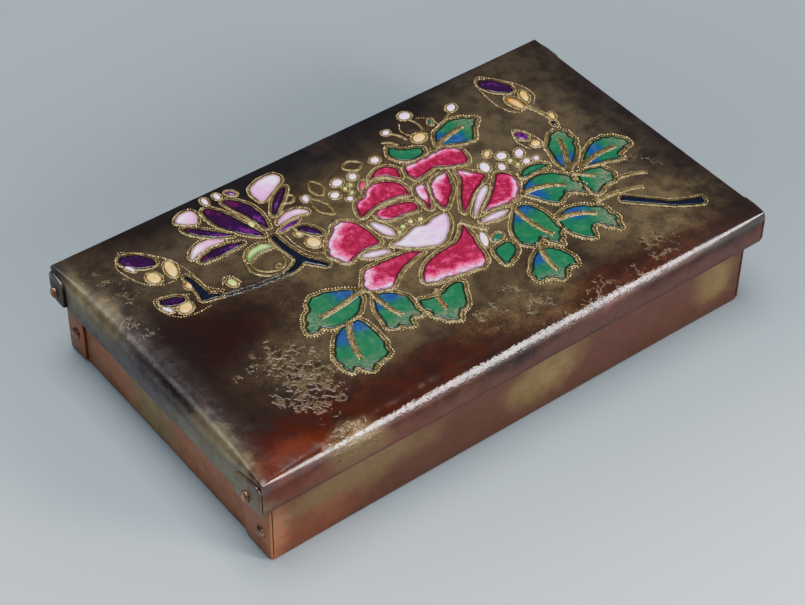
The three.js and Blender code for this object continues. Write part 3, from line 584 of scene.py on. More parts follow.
lidPatina = {
    "base": (38, 24, 18), "metallic": (0.25, 0.85), "roughness": (0.1, 0.2), "specular": 0.58,
    # colour, centre, size, softness, strength
    "clouds": [
        ((34, 12, 9), (-70, 5), (42, 17), 0.5, 0.97),
        ((28, 20, 19), (-96, 4, 34), (12, 26, 60), 0.6, 0.7),
        ((22, 20, 22), (0, 60), (80, 15), 0.5, 0.92),
        ((68, 60, 46), (-58, 34), (30, 13), 0.55, 0.85),
        ((64, 54, 42), (-42, 20), (30, 12), 0.55, 0.75),
        ((74, 64, 47), (8, 4), (50, 36), 0.5, 0.95),
        ((72, 61, 46), (-34, -24), (32, 19), 0.5, 0.9),
        ((74, 65, 50), (66, 8), (32, 38), 0.5, 0.85),
        ((74, 64, 49), (70, -36), (24, 14), 0.6, 0.9),
        ((72, 62, 47), (12, -44), (24, 9), 0.6, 0.8),
        ((64, 55, 41), (80, 46), (24, 13), 0.6, 0.75),
        ((46, 39, 31), (-90, 38), (14, 18), 0.6, 0.7),
        ((58, 18, 8), (-70, -52, 36), (40, 12, 22), 0.5, 0.95),
        ((92, 34, 10), (-85, -54, 34), (14, 6, 8), 0.6, 0.75),
        ((54, 24, 14), (-24, -50, 36), (34, 9, 20), 0.5, 0.85),
        ((60, 30, 20), (46, -54, 36), (36, 7, 20), 0.5, 0.8),
        ((30, 24, 24), (98, 0), (14, 50), 0.6, 0.85),
        ((94, 58, 50), (40, -59, 27), (80, 10, 6), 0.6, 0.85),
        ((106, 62, 46), (-60, -59, 27), (50, 10, 6), 0.6, 0.8),
        ((124, 104, 68), (-64, -59, 31), (9, 6, 7), 0.6, 0.7),
        # these two patches on the left wall are partly patina and partly a painted reflection of the pale
        # surroundings
        ((86, 76, 73), (-101, 12, 28), (8, 40, 6), 0.6, 0.85),
        ((128, 115, 90), (-101, -36, 27), (6, 22, 9), 0.6, 0.85),
        ((120, 107, 78), (-101, 38, 33), (4.5, 17, 6), 0.6, 0.85),
        ((104, 92, 64), (-101, -40, 33), (4.5, 12, 6), 0.6, 0.75),
        ((40, 35, 34), (-102, 56, 32), (4, 8, 11), 0.5, 0.95),
        ((112, 58, 40), (101, 0, 28), (8, 60, 6), 0.6, 0.8),
        ((84, 58, 46), (0, 59, 28), (100, 8, 6), 0.6, 0.8),
    ],
    # lighter gold dust, as centre, size, softness and strength
    "dustTint": (108, 92, 60),
    "dust": [
        ((4, 4), (56, 34), 0.4, 0.55), ((-46, 24), (36, 18), 0.5, 0.3),
        ((-44, -24), (34, 18), 0.5, 0.38), ((66, 6), (28, 34), 0.5, 0.3),
        ((70, -36), (26, 14), 0.5, 0.6), ((8, -46), (22, 9), 0.5, 0.6),
        ((-88, 36), (16, 18), 0.5, 0.22), ((-101, 34, 30), (6, 18, 10), 0.5, 0.5),
    ],
    # where the shine is duller, and where the bent edge is crumpled, in the same terms
    "dull": [((80, -57, 36), (26, 8, 8), 0.6, 0.1), ((-86, -57, 36), (12, 8, 8), 0.6, 0.12),
             ((-97, 0, 36), (6, 70, 5), 0.6, 0.14)],
    "crumpled": [((0, -56, 36), (62, 8, 8), 0.5, 0.9), ((-98, 6, 36), (8, 30, 8), 0.6, 1.3)],
    # a network of raised golden threads, in the same terms
    "threadTint": (92, 77, 46), "threadSize": 3.1,
    "threads": [
        ((-66, -29), (11, 18), 0.4, 1.0), ((-78, -22), (5, 6), 0.5, 0.5),
        ((6, -43), (15, 8), 0.4, 0.52), ((62, -50), (10, 6), 0.4, 0.7),
        ((-90, 36), (8, 10), 0.4, 0.5), ((-78, 22), (10, 6), 0.4, 0.4),
        ((-64, -58, 34), (9, 5, 8), 0.4, 1.0), ((-94, 18, 35), (6, 8, 60), 0.4, 0.45),
        ((84, -10), (8, 12), 0.4, 0.6), ((40, -56), (30, 4), 0.4, 0.5),
    ],
}
trayPatina = {
    "base": (88, 53, 39), "metallic": (0.75, 0.75), "roughness": (0.14, 0.26), "specular": 0.4,
    "clouds": [
        ((118, 98, 62), (-66, -57, 19), (28, 10, 7), 0.6, 0.65),
        ((138, 122, 70), (16, -57, 18), (10, 10, 8), 0.6, 0.85),
        ((126, 108, 66), (4, -57, 13), (11, 10, 8), 0.6, 0.7),
        ((134, 116, 68), (80, -57, 17), (8, 10, 9), 0.6, 0.75),
        ((124, 70, 46), (-84, -57, 6), (20, 10, 9), 0.6, 0.7),
        ((90, 54, 44), (42, -57, 18), (34, 10, 10), 0.6, 0.7),
        # the left side is its own orange copper plus a painted reflection of the floor, so it is lighter
        ((188, 122, 84), (-96, 0, 10), (6, 66, 18), 0.6, 0.85),
        ((146, 130, 84), (-96, 9, 14), (8, 13, 12), 0.6, 0.75),
    ],
    "dustTint": (150, 130, 86), "dust": [((10, -57, 16), (12, 10, 9), 0.6, 0.4)],
    "dull": [((0, -57, 0), (90, 10, 12), 0.6, 0.06)], "crumpled": [],
    "threads": [],
}
# what the two have in common: bumps have a strength and a depth in millimetres
finish = {
    # depths under the lid's top between which a look changes from the plate's to the walls'
    "wallFade": (5.3, 2.8), "wallRoughFade": (5.8, 1.3), "dentFade": (1.6, 0.1),
    "spotTint": (16, 8, 7), "pitTint": (26, 17, 12), "pits": 0.75, "threads": 0.52,
    "wallRough": 0.24, "powderRough": 0.16, "threadRough": 0.1,
    "waveBump": (0.6, 0.5), "dentBump": (1.0, 0.16), "threadBump": (1.0, 0.08),
    "streakBump": (0.7, 0.07), "grainBump": (0.5, 0.05),
}


def patches(tree, place, spots):
    # the strongest of several soft patches
    amounts = [times(tree, cloud(tree, place, *spot), strength) for *spot, strength in spots]
    return sums(tree, "MAXIMUM", *amounts)


def makePatina(name, patina):
    material, tree, shader, place = newMaterial(name)
    shader.inputs["Specular IOR Level"].default_value = patina["specular"]
    height = newNode(tree, "ShaderNodeSeparateXYZ", {0: place}).outputs[2]

    def byHeight(low, high, lowValue, highValue):
        # between two depths under the lid's top
        return between(tree, height, lid["topZ"] - low, lid["topZ"] - high, lowValue, highValue)

    onPlate, onWalls = patina["metallic"]
    tree.links.new(byHeight(*finish["wallFade"], onWalls, onPlate), shader.inputs["Metallic"])
    wandering = warped(tree, warped(tree, place, 24, 18), 3.5, 4)
    shade = colour(*patina["base"])
    for tint, *spot, strength in patina["clouds"]:
        shade = mixed(tree, times(tree, cloud(tree, wandering, *spot), strength), shade, colour(*tint))
    mottle = speckle(tree, place, 6, 6, 0.62)
    spots = times(tree, between(tree, mottle, 0.38, 0.7), byHeight(*finish["wallFade"], 0.2, 0.6))
    shade = mixed(tree, spots, shade, colour(*finish["spotTint"]))
    grain = speckle(tree, place, 0.55, 3, 0.65)
    powder = times(tree, between(tree, grain, 0.3, 0.66), patches(tree, wandering, patina["dust"]),
                   between(tree, mottle, 0.3, 0.62, 1.0, 0.25))
    shade = mixed(tree, powder, shade, colour(*patina["dustTint"]))
    rough = plus(tree, between(tree, mottle, 0.3, 0.7, *patina["roughness"]),
                 times(tree, powder, finish["powderRough"]),
                 byHeight(*finish["wallRoughFade"], finish["wallRough"], 0.0),
                 patches(tree, wandering, patina["dull"]))
    layers = [(speckle(tree, place, 9, 2, 0.5), *finish["waveBump"])]
    # the bent edges are dented by small strokes
    dents = times(tree, speckle(tree, place, 1.5, 3, 0.6), byHeight(*finish["dentFade"], 1.0, 0.1))
    if patina["crumpled"]:
        dents = times(tree, dents, plus(tree, 0.45, patches(tree, wandering, patina["crumpled"])))
    layers.append((dents, *finish["dentBump"]))
    if patina["threads"]:
        size = patina["threadSize"]
        sockets = {"Vector": warped(tree, place, size * 0.9, size * 1.7), "Scale": 1 / size}
        web = newNode(tree, "ShaderNodeTexVoronoi", sockets, feature="DISTANCE_TO_EDGE").outputs["Distance"]
        ragged = between(tree, speckle(tree, place, 5, 5, 0.65), 0.3, 0.7, -1.0, 0.4)
        there = between(tree, plus(tree, patches(tree, wandering, patina["threads"]), ragged), 0.28, 0.75)
        lines = times(tree, between(tree, web, 0.02, 0.15, 1.0, 0.0), there)
        pits = times(tree, between(tree, web, 0.16, 0.42), there)
        shade = mixed(tree, times(tree, pits, finish["pits"]), shade, colour(*finish["pitTint"]))
        shade = mixed(tree, times(tree, lines, finish["threads"]), shade, colour(*patina["threadTint"]))
        layers.append((lines, *finish["threadBump"]))
        rough = plus(tree, rough, times(tree, lines, finish["threadRough"]))
    # fine streaks that run along the box, and the grain of the dust
    streaky = wire(tree, "ShaderNodeMapping", {"Vector": place, "Scale": (0.3, 1, 1)})
    layers += [(speckle(tree, streaky, 0.9, 3, 0.6), *finish["streakBump"]), (grain, *finish["grainBump"])]
    tree.links.new(shade, shader.inputs["Base Color"])
    tree.links.new(rough, shader.inputs["Roughness"])
    addBump(tree, shader, *layers)
    return material


lidCopper = makePatina("lid copper", lidPatina)
trayCopper = makePatina("tray copper", trayPatina)


def makeBronze(name, dark, light, roughness, grain):
    material, tree, shader, place = newMaterial(name, Metallic=0.75, Roughness=roughness)
    mottle = between(tree, speckle(tree, place, 2.2, 4, 0.6), 0.35, 0.65)
    shade = mixed(tree, mottle, colour(*dark), colour(*light))
    sockets = {"Vector": warped(tree, place, 0.8, 0.3), "Scale": 1 / grain}
    grains = newNode(tree, "ShaderNodeTexVoronoi", sockets).outputs["Distance"]
    crowns = between(tree, grains, 0.1, 0.75, 1.0, 0.0)
    gaps = times(tree, sums(tree, "SUBTRACT", 1.0, crowns), 0.6)
    tree.links.new(mixed(tree, gaps, shade, colour(52, 38, 20)), shader.inputs["Base Color"])
    addBump(tree, shader, (crowns, 0.8, 0.12), (speckle(tree, place, 0.4, 3, 0.6), 0.4, 0.05))
    return material


bronze = makeBronze("ridge bronze", (104, 91, 56), (158, 139, 90), 0.32, 0.62)
gold = makeBronze("bead gold", (176, 150, 98), (226, 202, 148), 0.24, 0.9)
armGrey = makeBronze("arm grey", (28, 29, 33), (80, 84, 86), 0.28, 0.8)
print("copper ready")


# The pans of the lid and the tray

panRim = 8  # how far in from a pan's edge its plate keeps its own lines


def panLines(half, bend, count):
    # lines across a pan, each as its place along and how it lies at a given bend radius: the bend, the
    # strip beside it, the plate, and the first two again at the far end
    start = half - panRim
    lines = []
    for k in range(bend + 1):
        part = 1 - math.cos(math.pi / 2 * k / bend)
        lines.append((-1, lambda radius, part=part: -half + radius * part))
    for t in (0.25, 0.5, 0.75):
        lines.append((-1 + panRim / half * t, lambda radius, t=t: (-half + radius) * (1 - t) - start * t))
    farLines = [(-spot, lambda radius, place=place: -place(radius)) for spot, place in reversed(lines)]
    plate = [-start + 2 * start * k / count for k in range(count + 1)]
    return lines + [(spot / half, lambda radius, spot=spot: spot) for spot in plate] + farLines


def panGrid(pan, inset, bend, spacing):
    face = dict(pan, halfX=pan["halfX"] - inset, halfY=pan["halfY"] - inset)
    for name in ("midBend", "farBend", "cornerBend"):
        face[name] = max(pan[name] - inset, sharpestBend)
    columns = panLines(face["halfX"], bend, round(2 * pan["halfX"] / spacing))
    rows = panLines(face["halfY"], bend, round(2 * pan["halfY"] / spacing))
    grid = []
    for alongY, placeY in rows:
        spots = [(placeX(bendRadius(face, alongY, alongX)), placeY(bendRadius(face, alongX, alongY)))
                 for alongX, placeX in columns]
        grid.append([(x, y, panHeight(face, x, y) - inset) for x, y in spots])
    return grid


def edgeLoop(rows, columns):
    loop = [(0, i) for i in range(columns - 1)] + [(j, columns - 1) for j in range(rows - 1)]
    loop += [(rows - 1, i) for i in range(columns - 1, 0, -1)] + [(j, 0) for j in range(rows - 1, 0, -1)]
    return loop


def panSheet(pan, depth, spacing, wallRows, bend=8):
    # the outer face, the walls down to the rim and up again, and the inner face, as one closed sheet
    outer, inner = panGrid(pan, 0, bend, spacing), panGrid(pan, sheet, bend, spacing)
    rows, columns = len(outer), len(outer[0])
    points = [spot for line in outer + inner for spot in line]
    half, faces = rows * columns, []
    for j in range(rows - 1):
        for i in range(columns - 1):
            a, d = j * columns + i, (j + 1) * columns + i
            faces += [(a, a + 1, d + 1, d), (half + d, half + d + 1, half + a + 1, half + a)]
    loop = edgeLoop(rows, columns)
    bands = [[j * columns + i for j, i in loop]]
    for grid, parts in ((outer, range(1, wallRows + 1)), (inner, range(wallRows, 0, -1))):
        for part in parts:
            band = []
            for j, i in loop:
                x, y, top = grid[j][i]
                band.append(len(points))
                points.append((x, y, top + (-depth - top) * part / wallRows))
            bands.append(band)
    bands.append([half + j * columns + i for j, i in loop])
    for upper, lower in zip(bands, bands[1:]):
        for k in range(len(loop)):
            following = (k + 1) % len(loop)
            faces.append((upper[following], upper[k], lower[k], lower[following]))
    return points, faces


def tabPlate(outline, baseX, outward):
    # a tab with softened edges, from its outline in y and z
    loop = softenLoop(evenLoop(outline, 0.6), 2)
    if sum(ax * by - bx * ay for (ax, ay), (bx, by) in zip(loop, loop[1:] + loop[:1])) < 0:
        loop = loop[::-1]
    directions = outwards(loop)
    points, faces = [], []
    for inset, lift in ((0, -0.3), (0, sheet - 0.25), (0.08, sheet - 0.08), (0.28, sheet)):
        points += [(baseX + outward * lift, y - ny * inset, z - nz * inset)
                   for (y, z), (ny, nz) in zip(loop, directions)]
    count = len(loop)
    for layer in range(3):
        for k in range(count):
            a, b = layer * count + k, layer * count + (k + 1) % count
            faces.append((a, b, b + count, a + count))
    faces += [tuple(range(count - 1, -1, -1)), tuple(range(3 * count, 4 * count))]
    return points, [face if outward > 0 else face[::-1] for face in faces]


def joined(parts):
    points, faces = [], []
    for morePoints, moreFaces in parts:
        faces += [tuple(k + len(points) for k in face) for face in moreFaces]
        points += morePoints
    return points, faces


lidTabs = [(-1, -1, 12.7, 0), (-1, 1, 8, 0.4), (1, -1, 10.4, 0), (1, 1, 11.9, 0)]  # end, side, length, climb
trayTabs = [(-1, -1, 13.3), (-1, 1, 9.5), (1, -1, 11), (1, 1, 10.5)]  # end, side, length
tabClip = {"along": 1.5, "drop": 0.6, "corner": 2}
trayTabLift = 0.3


def makeLid():
    points, faces = panSheet(lid, lid["topZ"] - lid["rimZ"], 1.6, 8)
    parts = [([(x, y, z + lid["topZ"]) for x, y, z in points], faces)]
    for end, side, length, climb in lidTabs:
        corner, tip = side * lid["halfY"], side * (lid["halfY"] - length)
        middle, rim = (corner + tip) / 2, lid["rimZ"]
        wallTop = lambda y: lid["topZ"] - bendRadius(lid, y / lid["halfY"], end)
        outline = [(corner, rim), (tip, rim), (tip, wallTop(tip) + climb), (middle, wallTop(middle) + climb),
                   (corner - side * tabClip["along"], wallTop(corner) - tabClip["drop"]),
                   (corner, wallTop(corner) - tabClip["corner"])]
        parts.append(tabPlate(outline, end * lid["halfX"], end))
    return settle(makePiece("lid_sheet", *joined(parts), lidCopper), "lid_copper", "lid")


def makeTray():
    points, faces = panSheet(tray, tray["height"], 3, 6, bend=5)
    parts = [([(tray["centreX"] + x, -y, -z) for x, y, z in points], faces)]
    for end, side, length in trayTabs:
        corner, tip = side * tray["halfY"], side * (tray["halfY"] - length)
        wallFoot = lambda y: bendRadius(tray, y / tray["halfY"], -1)
        outline = [(corner, tray["height"]), (tip, tray["height"]),
                   (tip, wallFoot(tip) + trayTabLift), (corner, wallFoot(corner))]
        parts.append(tabPlate(outline, tray["centreX"] + end * tray["halfX"], end))
    return settle(makePiece("tray_sheet", *joined(parts), trayCopper), "tray_copper", "tray")


makeLid()
makeTray()
print("lid and tray ready")


# Geometry node trees

def newTree(name, sizes):
    # a tree with a geometry input, named inputs with their values, and a geometry output
    tree = bpy.data.node_groups.new(name, "GeometryNodeTree")
    tree.interface.new_socket("Geometry", in_out="INPUT", socket_type="NodeSocketGeometry")
    for label, value in sizes.items():
        kind = "NodeSocketInt" if isinstance(value, int) else "NodeSocketFloat"
        kind = "NodeSocketMaterial" if isinstance(value, bpy.types.Material) else kind
        socket = tree.interface.new_socket(label, in_out="INPUT", socket_type=kind)
        if kind != "NodeSocketMaterial":
            socket.default_value = value
    tree.interface.new_socket("Geometry", in_out="OUTPUT", socket_type="NodeSocketGeometry")
    return tree, tree.nodes.new("NodeGroupInput").outputs


def pointValue(tree, name):
    return wire(tree, "GeometryNodeInputNamedAttribute", {"Name": name}, data_type="FLOAT")


def stored(tree, geometry, name, value):
    sockets = {"Geometry": geometry, "Name": name, "Value": value}
    return wire(tree, "GeometryNodeStoreNamedAttribute", sockets, data_type="FLOAT", domain="POINT")


def evenCurve(tree, mesh, step):
    curve = wire(tree, "GeometryNodeMeshToCurve", {"Mesh": mesh})
    return wire(tree, "GeometryNodeResampleCurve", {"Curve": curve, "Length": step}, mode="LENGTH")


def unitBall(tree, sizes):
    sockets = {"Segments": sizes["segments"], "Rings": sizes["rings"], "Radius": 1.0}
    return newNode(tree, "GeometryNodeMeshUVSphere", sockets).outputs["Mesh"]


def turnedScaled(tree, geometry, **sockets):
    return wire(tree, "GeometryNodeTransform", {"Geometry": geometry, **sockets})


def finishTree(tree, geometry, material):
    whole = wire(tree, "GeometryNodeRealizeInstances", {"Geometry": geometry})
    smooth = wire(tree, "GeometryNodeSetShadeSmooth", {"Geometry": whole})
    painted = wire(tree, "GeometryNodeSetMaterial", {"Geometry": smooth, "Material": material})
    newNode(tree, "NodeGroupOutput", {"Geometry": painted})


def finishOnSpots(tree, sizes, spots, thing, **sockets):
    # a copy of the thing on each spot
    sockets = {"Points": spots, "Instance": thing, **sockets}
    finishTree(tree, wire(tree, "GeometryNodeInstanceOnPoints", sockets), sizes["material"])
    return tree


def grown(name, points, edges, tree, sizes, attributes=None):
    # runs a tree on points and edges, and keeps its result as a plain mesh
    guide = intoScene(name + "_guide", newMesh(name + "_guide", points, edges, [], attributes))
    modifier = guide.modifiers.new("grow", "NODES")
    modifier.node_group = tree
    for socket in tree.interface.items_tree:
        if socket.in_out == "INPUT" and socket.name in sizes:
            modifier[socket.identifier] = sizes[socket.name]
    result = bpy.data.meshes.new_from_object(guide.evaluated_get(bpy.context.evaluated_depsgraph_get()))
    bpy.data.objects.remove(guide)
    result.name = name
    return intoScene(name, result)


# The cells of enamel, each as one or more closed outlines

def outlineOf(figure):
    if "corners" in figure:
        return arcOutline(figure["corners"], figure.get("scallops", (-1, 0, 0)))
    points = budOutline(figure)
    return points, [0] * len(points)


ruffles = {
    "petalWave": 1.7, "petalDepth": 1.1, "plainDepth": 0.35,
    "leafWave": 1.9, "leafDepth": 1.5, "leafFrom": 0.55, "leafFade": 0.4,
}


def ruffled(figure, points, sides):
    # hand-cut edges: pale rims of petals and the far ends of leaves are the most ragged
    moved = []
    for (x, y), (nx, ny), side in zip(points, outwards(points), sides):
        wave, depth = ruffles["petalWave"], ruffles["plainDepth"]
        if "pale" in figure and side in figure["pale"][0]:
            depth = ruffles["petalDepth"]
        if "vein" in figure:
            wave = ruffles["leafWave"]
            far = within((chordPlace(figure["vein"], x, y) - ruffles["leafFrom"]) / ruffles["leafFade"])
            depth += (ruffles["leafDepth"] - depth) * far
        out = depth * noise.noise((x / wave, y / wave, len(points)))
        moved.append((x + nx * out, y + ny * out))
    return moved


def inLoop(points, x, y):
    inside = False
    for (ax, ay), (bx, by) in zip(points, points[1:] + points[:1]):
        if (ay > y) != (by > y) and x < ax + (y - ay) / (by - ay) * (bx - ax):
            inside = not inside
    return inside


def makeCells():
    figures = []
    for motif, prefix, glass, group in (("peony", "peony_petal_", "crimson", peonyPetals),
                                        ("peony", "pale_petal_", "blush", palePetals),
                                        ("leaf", "leaf_", "green", leaves),
                                        ("magnolia", "magnolia_", "", magnoliaPetals),
                                        ("bud", "bud_", "", buds)):
        figures += [(motif, prefix + name, figure, glass or figure["glass"])
                    for name, figure in group.items()]
    figures += [("bud", name, {"strips": strips}, "navy") for name, strips in twigs.items()]
    made = []
    for motif, name, figure, glass in figures:
        if "strips" in figure:
            loops = [cleanLoop(stripOutline(line), 2) for line in figure["strips"]]
        else:
            loops = [cleanLoop(ruffled(figure, *outlineOf(figure)))]
        made.append({"motif": motif, "name": name, "figure": figure, "glass": glass, "loops": loops})
    return made


cells = makeCells()
print("cells laid out:", len(cells))


# Raised lines around the cells, with rows of beads beside them

ridge = {"width": 2 * mm, "height": 0.5 * mm, "step": 0.4 * mm, "sides": 9, "material": bronze}
beadRow = {"radius": 0.45 * mm, "pitch": 1.0 * mm, "variation": 0.3, "seed": 4, "material": gold}
edging = {
    # how far out the bar and the row of beads run from a cell, the bar's girth, the beads' radius and pitch
    "peony": {"bar": 0.5, "girth": 0.7, "row": 1.4, "radius": 0.37, "pitch": 0.92},
    "leaf": {"bar": 0.5, "girth": 0.66, "row": 1.45, "radius": 0.4, "pitch": 1.02},
    "magnolia": {"bar": 0.45, "girth": 0.56, "row": 1.25, "radius": 0.37, "pitch": 0.92},
    "bud": {"bar": 0.4, "girth": 0.48, "row": 1.1, "radius": 0.33, "pitch": 0.86},
}
# how lines lie beside a cell: the least room of a bead, how close two loops of one cell may run, the lift of
# bars and beads, and where beads that climb on a bar begin to, with their lift and their lesser girth there
laid = {"beadRoom": 0.6, "crowding": 0.85, "barLift": -0.02, "barSpare": 0.25, "beadLift": 0.14,
        "climbFrom": 1.4, "climbFade": 0.5, "climbLift": 0.26, "climbGirth": 0.1}
veinEdging = {"side": 0.95, "girth": 1.32, "beads": 0.9, "taper": 0.2, "lift": 0.08, "beadLift": 0.2}
dropEdging = {"bar": 0.3, "barLift": -0.05, "row": 0.8, "beadLift": 0.08}


def ridgeTree():
    # half-round bars that follow lines on the lid
    tree, sizes = newTree("raised lines", ridge)
    curve = evenCurve(tree, sizes["Geometry"], sizes["step"])
    curve = wire(tree, "GeometryNodeSetCurveNormal", {"Curve": curve}, mode="Z_UP")
    half = {"Resolution": sizes["sides"], "Radius": 1.0, "Start Angle": math.radians(-20),
            "Sweep Angle": math.radians(220)}
    arc = wire(tree, "GeometryNodeCurveArc", half)
    closedArc = wire(tree, "GeometryNodeSetSplineCyclic", {"Geometry": arc, "Cyclic": True})
    across, upwards = sums(tree, "DIVIDE", sizes["width"], 2.0), times(tree, sizes["height"], -1.0)
    shape = wire(tree, "ShaderNodeCombineXYZ", {"X": across, "Y": upwards, "Z": 1.0})
    profile = turnedScaled(tree, closedArc, Scale=shape)
    swept = {"Curve": curve, "Profile Curve": profile, "Scale": pointValue(tree, "girth"), "Fill Caps": True}
    bars = wire(tree, "GeometryNodeCurveToMesh", swept)
    finishTree(tree, wire(tree, "GeometryNodeFlipFaces", {"Mesh": bars}), sizes["material"])
    return tree


def beadTree():
    # small grains in a row along lines on the lid
    tree, sizes = newTree("rows of beads", beadRow)
    spots = evenCurve(tree, sizes["Geometry"], sizes["pitch"])
    ball = {"Radius": sizes["radius"], "Subdivisions": 2}
    grain = newNode(tree, "GeometryNodeMeshIcoSphere", ball).outputs["Mesh"]
    chance = {2: sums(tree, "SUBTRACT", 1.0, sizes["variation"]), 3: 1.0, "Seed": sizes["seed"]}
    random = newNode(tree, "FunctionNodeRandomValue", chance, data_type="FLOAT").outputs[1]
    girth = times(tree, random, pointValue(tree, "girth"))
    return finishOnSpots(tree, sizes, spots, grain, Scale=girth)


def chains(lines):
    # points and edges of several lines; each line is a list of x, y, lift and girth, and closed or not
    points, edges, girths = [], [], []
    for line, closed in lines:
        first = len(points)
        for x, y, lift, girth in line:
            points.append(onLid(x, y, lift))
            girths.append(girth)
        edges += [(k, k + 1) for k in range(first, len(points) - 1)]
        if closed:
            edges.append((len(points) - 1, first))
    return points, edges, {"girth": girths}


def stretches(points, keep, least=3):
    # the stretches of a closed loop that are kept, each with whether it is the whole loop
    if all(keep):
        return [(points, True)]
    start = keep.index(False)
    result, run = [], []
    for k in range(1, len(points) + 1):
        at = (start + k) % len(points)
        if keep[at]:
            run.append(points[at])
            continue
        if len(run) >= least:
            result.append((run, False))
        run = []
    return result


def besideCell(loop, reach, others):
    # a line that runs round a cell; where another cell is near it keeps to the middle between them
    line = offsetLoop(loop, reach)
    placed = []
    for (x, y), (nx, ny) in zip(line, outwards(line)):
        gap = distanceTo(others, x, y)
        back = (reach - gap) / 2 if gap < reach else 0
        placed.append((x - nx * back, y - ny * back))
    return softenLoop(placed, 2)


def linesOfCell(cell, others):
    # the bars and the bead rows of one cell
    bars, beads, style = [], [], edging[cell["motif"]]
    for number, loop in enumerate(cell["loops"]):
        siblings = [other for k, other in enumerate(cell["loops"]) if k != number]
        siblingTree = treeOf([spot for other in siblings for spot in other])
        own = treeOf(loop)

        def free(x, y, reach):
            return (not any(inLoop(other, x, y) for other in siblings)
                    and distanceTo(siblingTree, x, y) > laid["crowding"] * reach)

        def nearest(x, y):
            return min(distanceTo(own, x, y), distanceTo(others, x, y))

        middle = besideCell(loop, style["bar"], others)
        for line, closed in stretches(middle, [free(x, y, style["bar"]) for x, y in middle]):
            girths = [style["girth"] * min(1, (nearest(x, y) + laid["barSpare"]) / style["bar"])
                      for x, y in line]
            bars.append(([(x, y, laid["barLift"], girth) for (x, y), girth in zip(line, girths)], closed))
        outer = besideCell(loop, style["row"], others)
        keep = [free(x, y, style["row"]) and nearest(x, y) > laid["beadRoom"] for x, y in outer]
        for line, closed in stretches(outer, keep):
            climbs = [within((laid["climbFrom"] - distanceTo(own, x, y)) / laid["climbFade"])
                      for x, y in line]
            raised = [(x, y, laid["beadLift"] + laid["climbLift"] * climb, 1 - laid["climbGirth"] * climb)
                      for (x, y), climb in zip(line, climbs)]
            beads.append((raised, closed))
    vein = cell["figure"].get("vein")
    if vein:
        spans = [k / 30 for k in range(31)]
        tapers = [(t, 1 - veinEdging["taper"] * t) for t in spans]
        middle = [(*besideLine(vein, t, 0), veinEdging["lift"], veinEdging["girth"] * taper)
                  for t, taper in tapers]
        bars.append((middle, False))
        for side in (-veinEdging["side"], veinEdging["side"]):
            spots = [besideLine(vein, 0.99 * t, side * taper) for t, taper in tapers]
            beads.append(([(*spot, veinEdging["beadLift"], veinEdging["beads"]) for spot in spots], False))
    return bars, beads


def throughSpots(spots, lift, girth, steps=10):
    # a smooth line through its points, closed if it ends where it starts
    closed = spots[0] == spots[-1]
    spots = spots[:-1] if closed else spots
    count, line = len(spots), []
    for k in range(count if closed else count - 1):
        near = [spots[(k + step) % count if closed else min(max(k + step, 0), count - 1)]
                for step in (-1, 0, 1, 2)]
        for step in range(steps):
            t = step / steps
            weights = (-t ** 3 + 2 * t ** 2 - t, 3 * t ** 3 - 5 * t ** 2 + 2,
                       -3 * t ** 3 + 4 * t ** 2 + t, t ** 3 - t ** 2)
            line.append(tuple(sum(w * spot[i] for w, spot in zip(weights, near)) / 2 for i in (0, 1)))
    line += [] if closed else [spots[-1]]
    return [(x, y, lift, girth) for x, y in line], closed


def dropLoop(x, y, length, width, turn, reach):
    # a line around a drop
    c, s = math.cos(math.radians(turn)), math.sin(math.radians(turn))
    points = []
    for k in range(24):
        angle = 2 * math.pi * k / 24
        along, across = (length / 2 + reach) * math.cos(angle), (width / 2 + reach) * math.sin(angle)
        points.append((x + along * c - across * s, y + along * s + across * c))
    return points


def layLines(name, bars, beads, trees, row, bar):
    # bars and rows of beads, as two pieces
    for part, lines, tree, sizes in zip(("_lines", "_beads"), (bars, beads), trees, (bar, row)):
        points, edges, attributes = chains(lines)
        settle(grown(name + part, points, edges, tree, sizes, attributes), "lid_copper", "lid")


def makeArm(trees):
    # the grey stem between the two buds: two thin ridges side by side, frosted with grains
    steps, bars, beads = 40, [], []
    for side in (-0.75, 0.75):
        wander = [side + 0.15 * math.sin(k * 1.3 + side) for k in range(steps + 1)]
        line = [besideLine(armLine, k / steps, aside) for k, aside in enumerate(wander)]
        bars.append(([(x, y, 0, 0.62) for x, y in line], False))
        beads.append(([(x, y, 0.22, 0.8) for x, y in line], False))
    row = dict(beadRow, radius=0.42 * mm, pitch=0.9 * mm, material=armGrey)
    layLines("arm", bars, beads, trees, row, dict(ridge, material=armGrey))


def looseLines():
    # the bars and beads that don't belong to a cell
    bars, beads = [], []
    for line in bareLines:
        places = [(k / 24, widthAt(line, k / 24)) for k in range(25)]
        bars.append(([(*besideLine(line, t, 0), 0, width / 2) for t, width in places], False))
        for side in (-0.5, 0.5):
            beads.append(([(*besideLine(line, t, side * width), 0.12, 0.9) for t, width in places], False))
    beads += [throughSpots(spots, 0.1, 1) for spots in beadedLines]
    bars += [throughSpots(spots, 0, 0.62) for spots in bareRidges]
    for x, y, length, width, turn in [row for rows in drops.values() for row in rows]:
        big = min((length + width) / 6, 1)
        inner = dropLoop(x, y, length, width, turn, dropEdging["bar"])
        outer = dropLoop(x, y, length, width, turn, dropEdging["row"])
        bars.append(([(*spot, dropEdging["barLift"], 0.45 * big + 0.1) for spot in inner], True))
        beads.append(([(*spot, dropEdging["beadLift"], 0.55 + 0.3 * big) for spot in outer], True))
    return bars, beads


def makeRidges():
    trees = ridgeTree(), beadTree()
    makeArm(trees)
    for motif, style in edging.items():
        bars, beads = looseLines() if motif == "bud" else ([], [])
        for cell in [cell for cell in cells if cell["motif"] == motif]:
            others = [spot for other in cells if other is not cell
                      for loop in other["loops"] for spot in loop]
            moreBars, moreBeads = linesOfCell(cell, treeOf(others))
            bars += moreBars
            beads += moreBeads
        row = dict(beadRow, radius=style["radius"] * mm, pitch=style["pitch"] * mm)
        layLines(motif, bars, beads, trees, row, ridge)


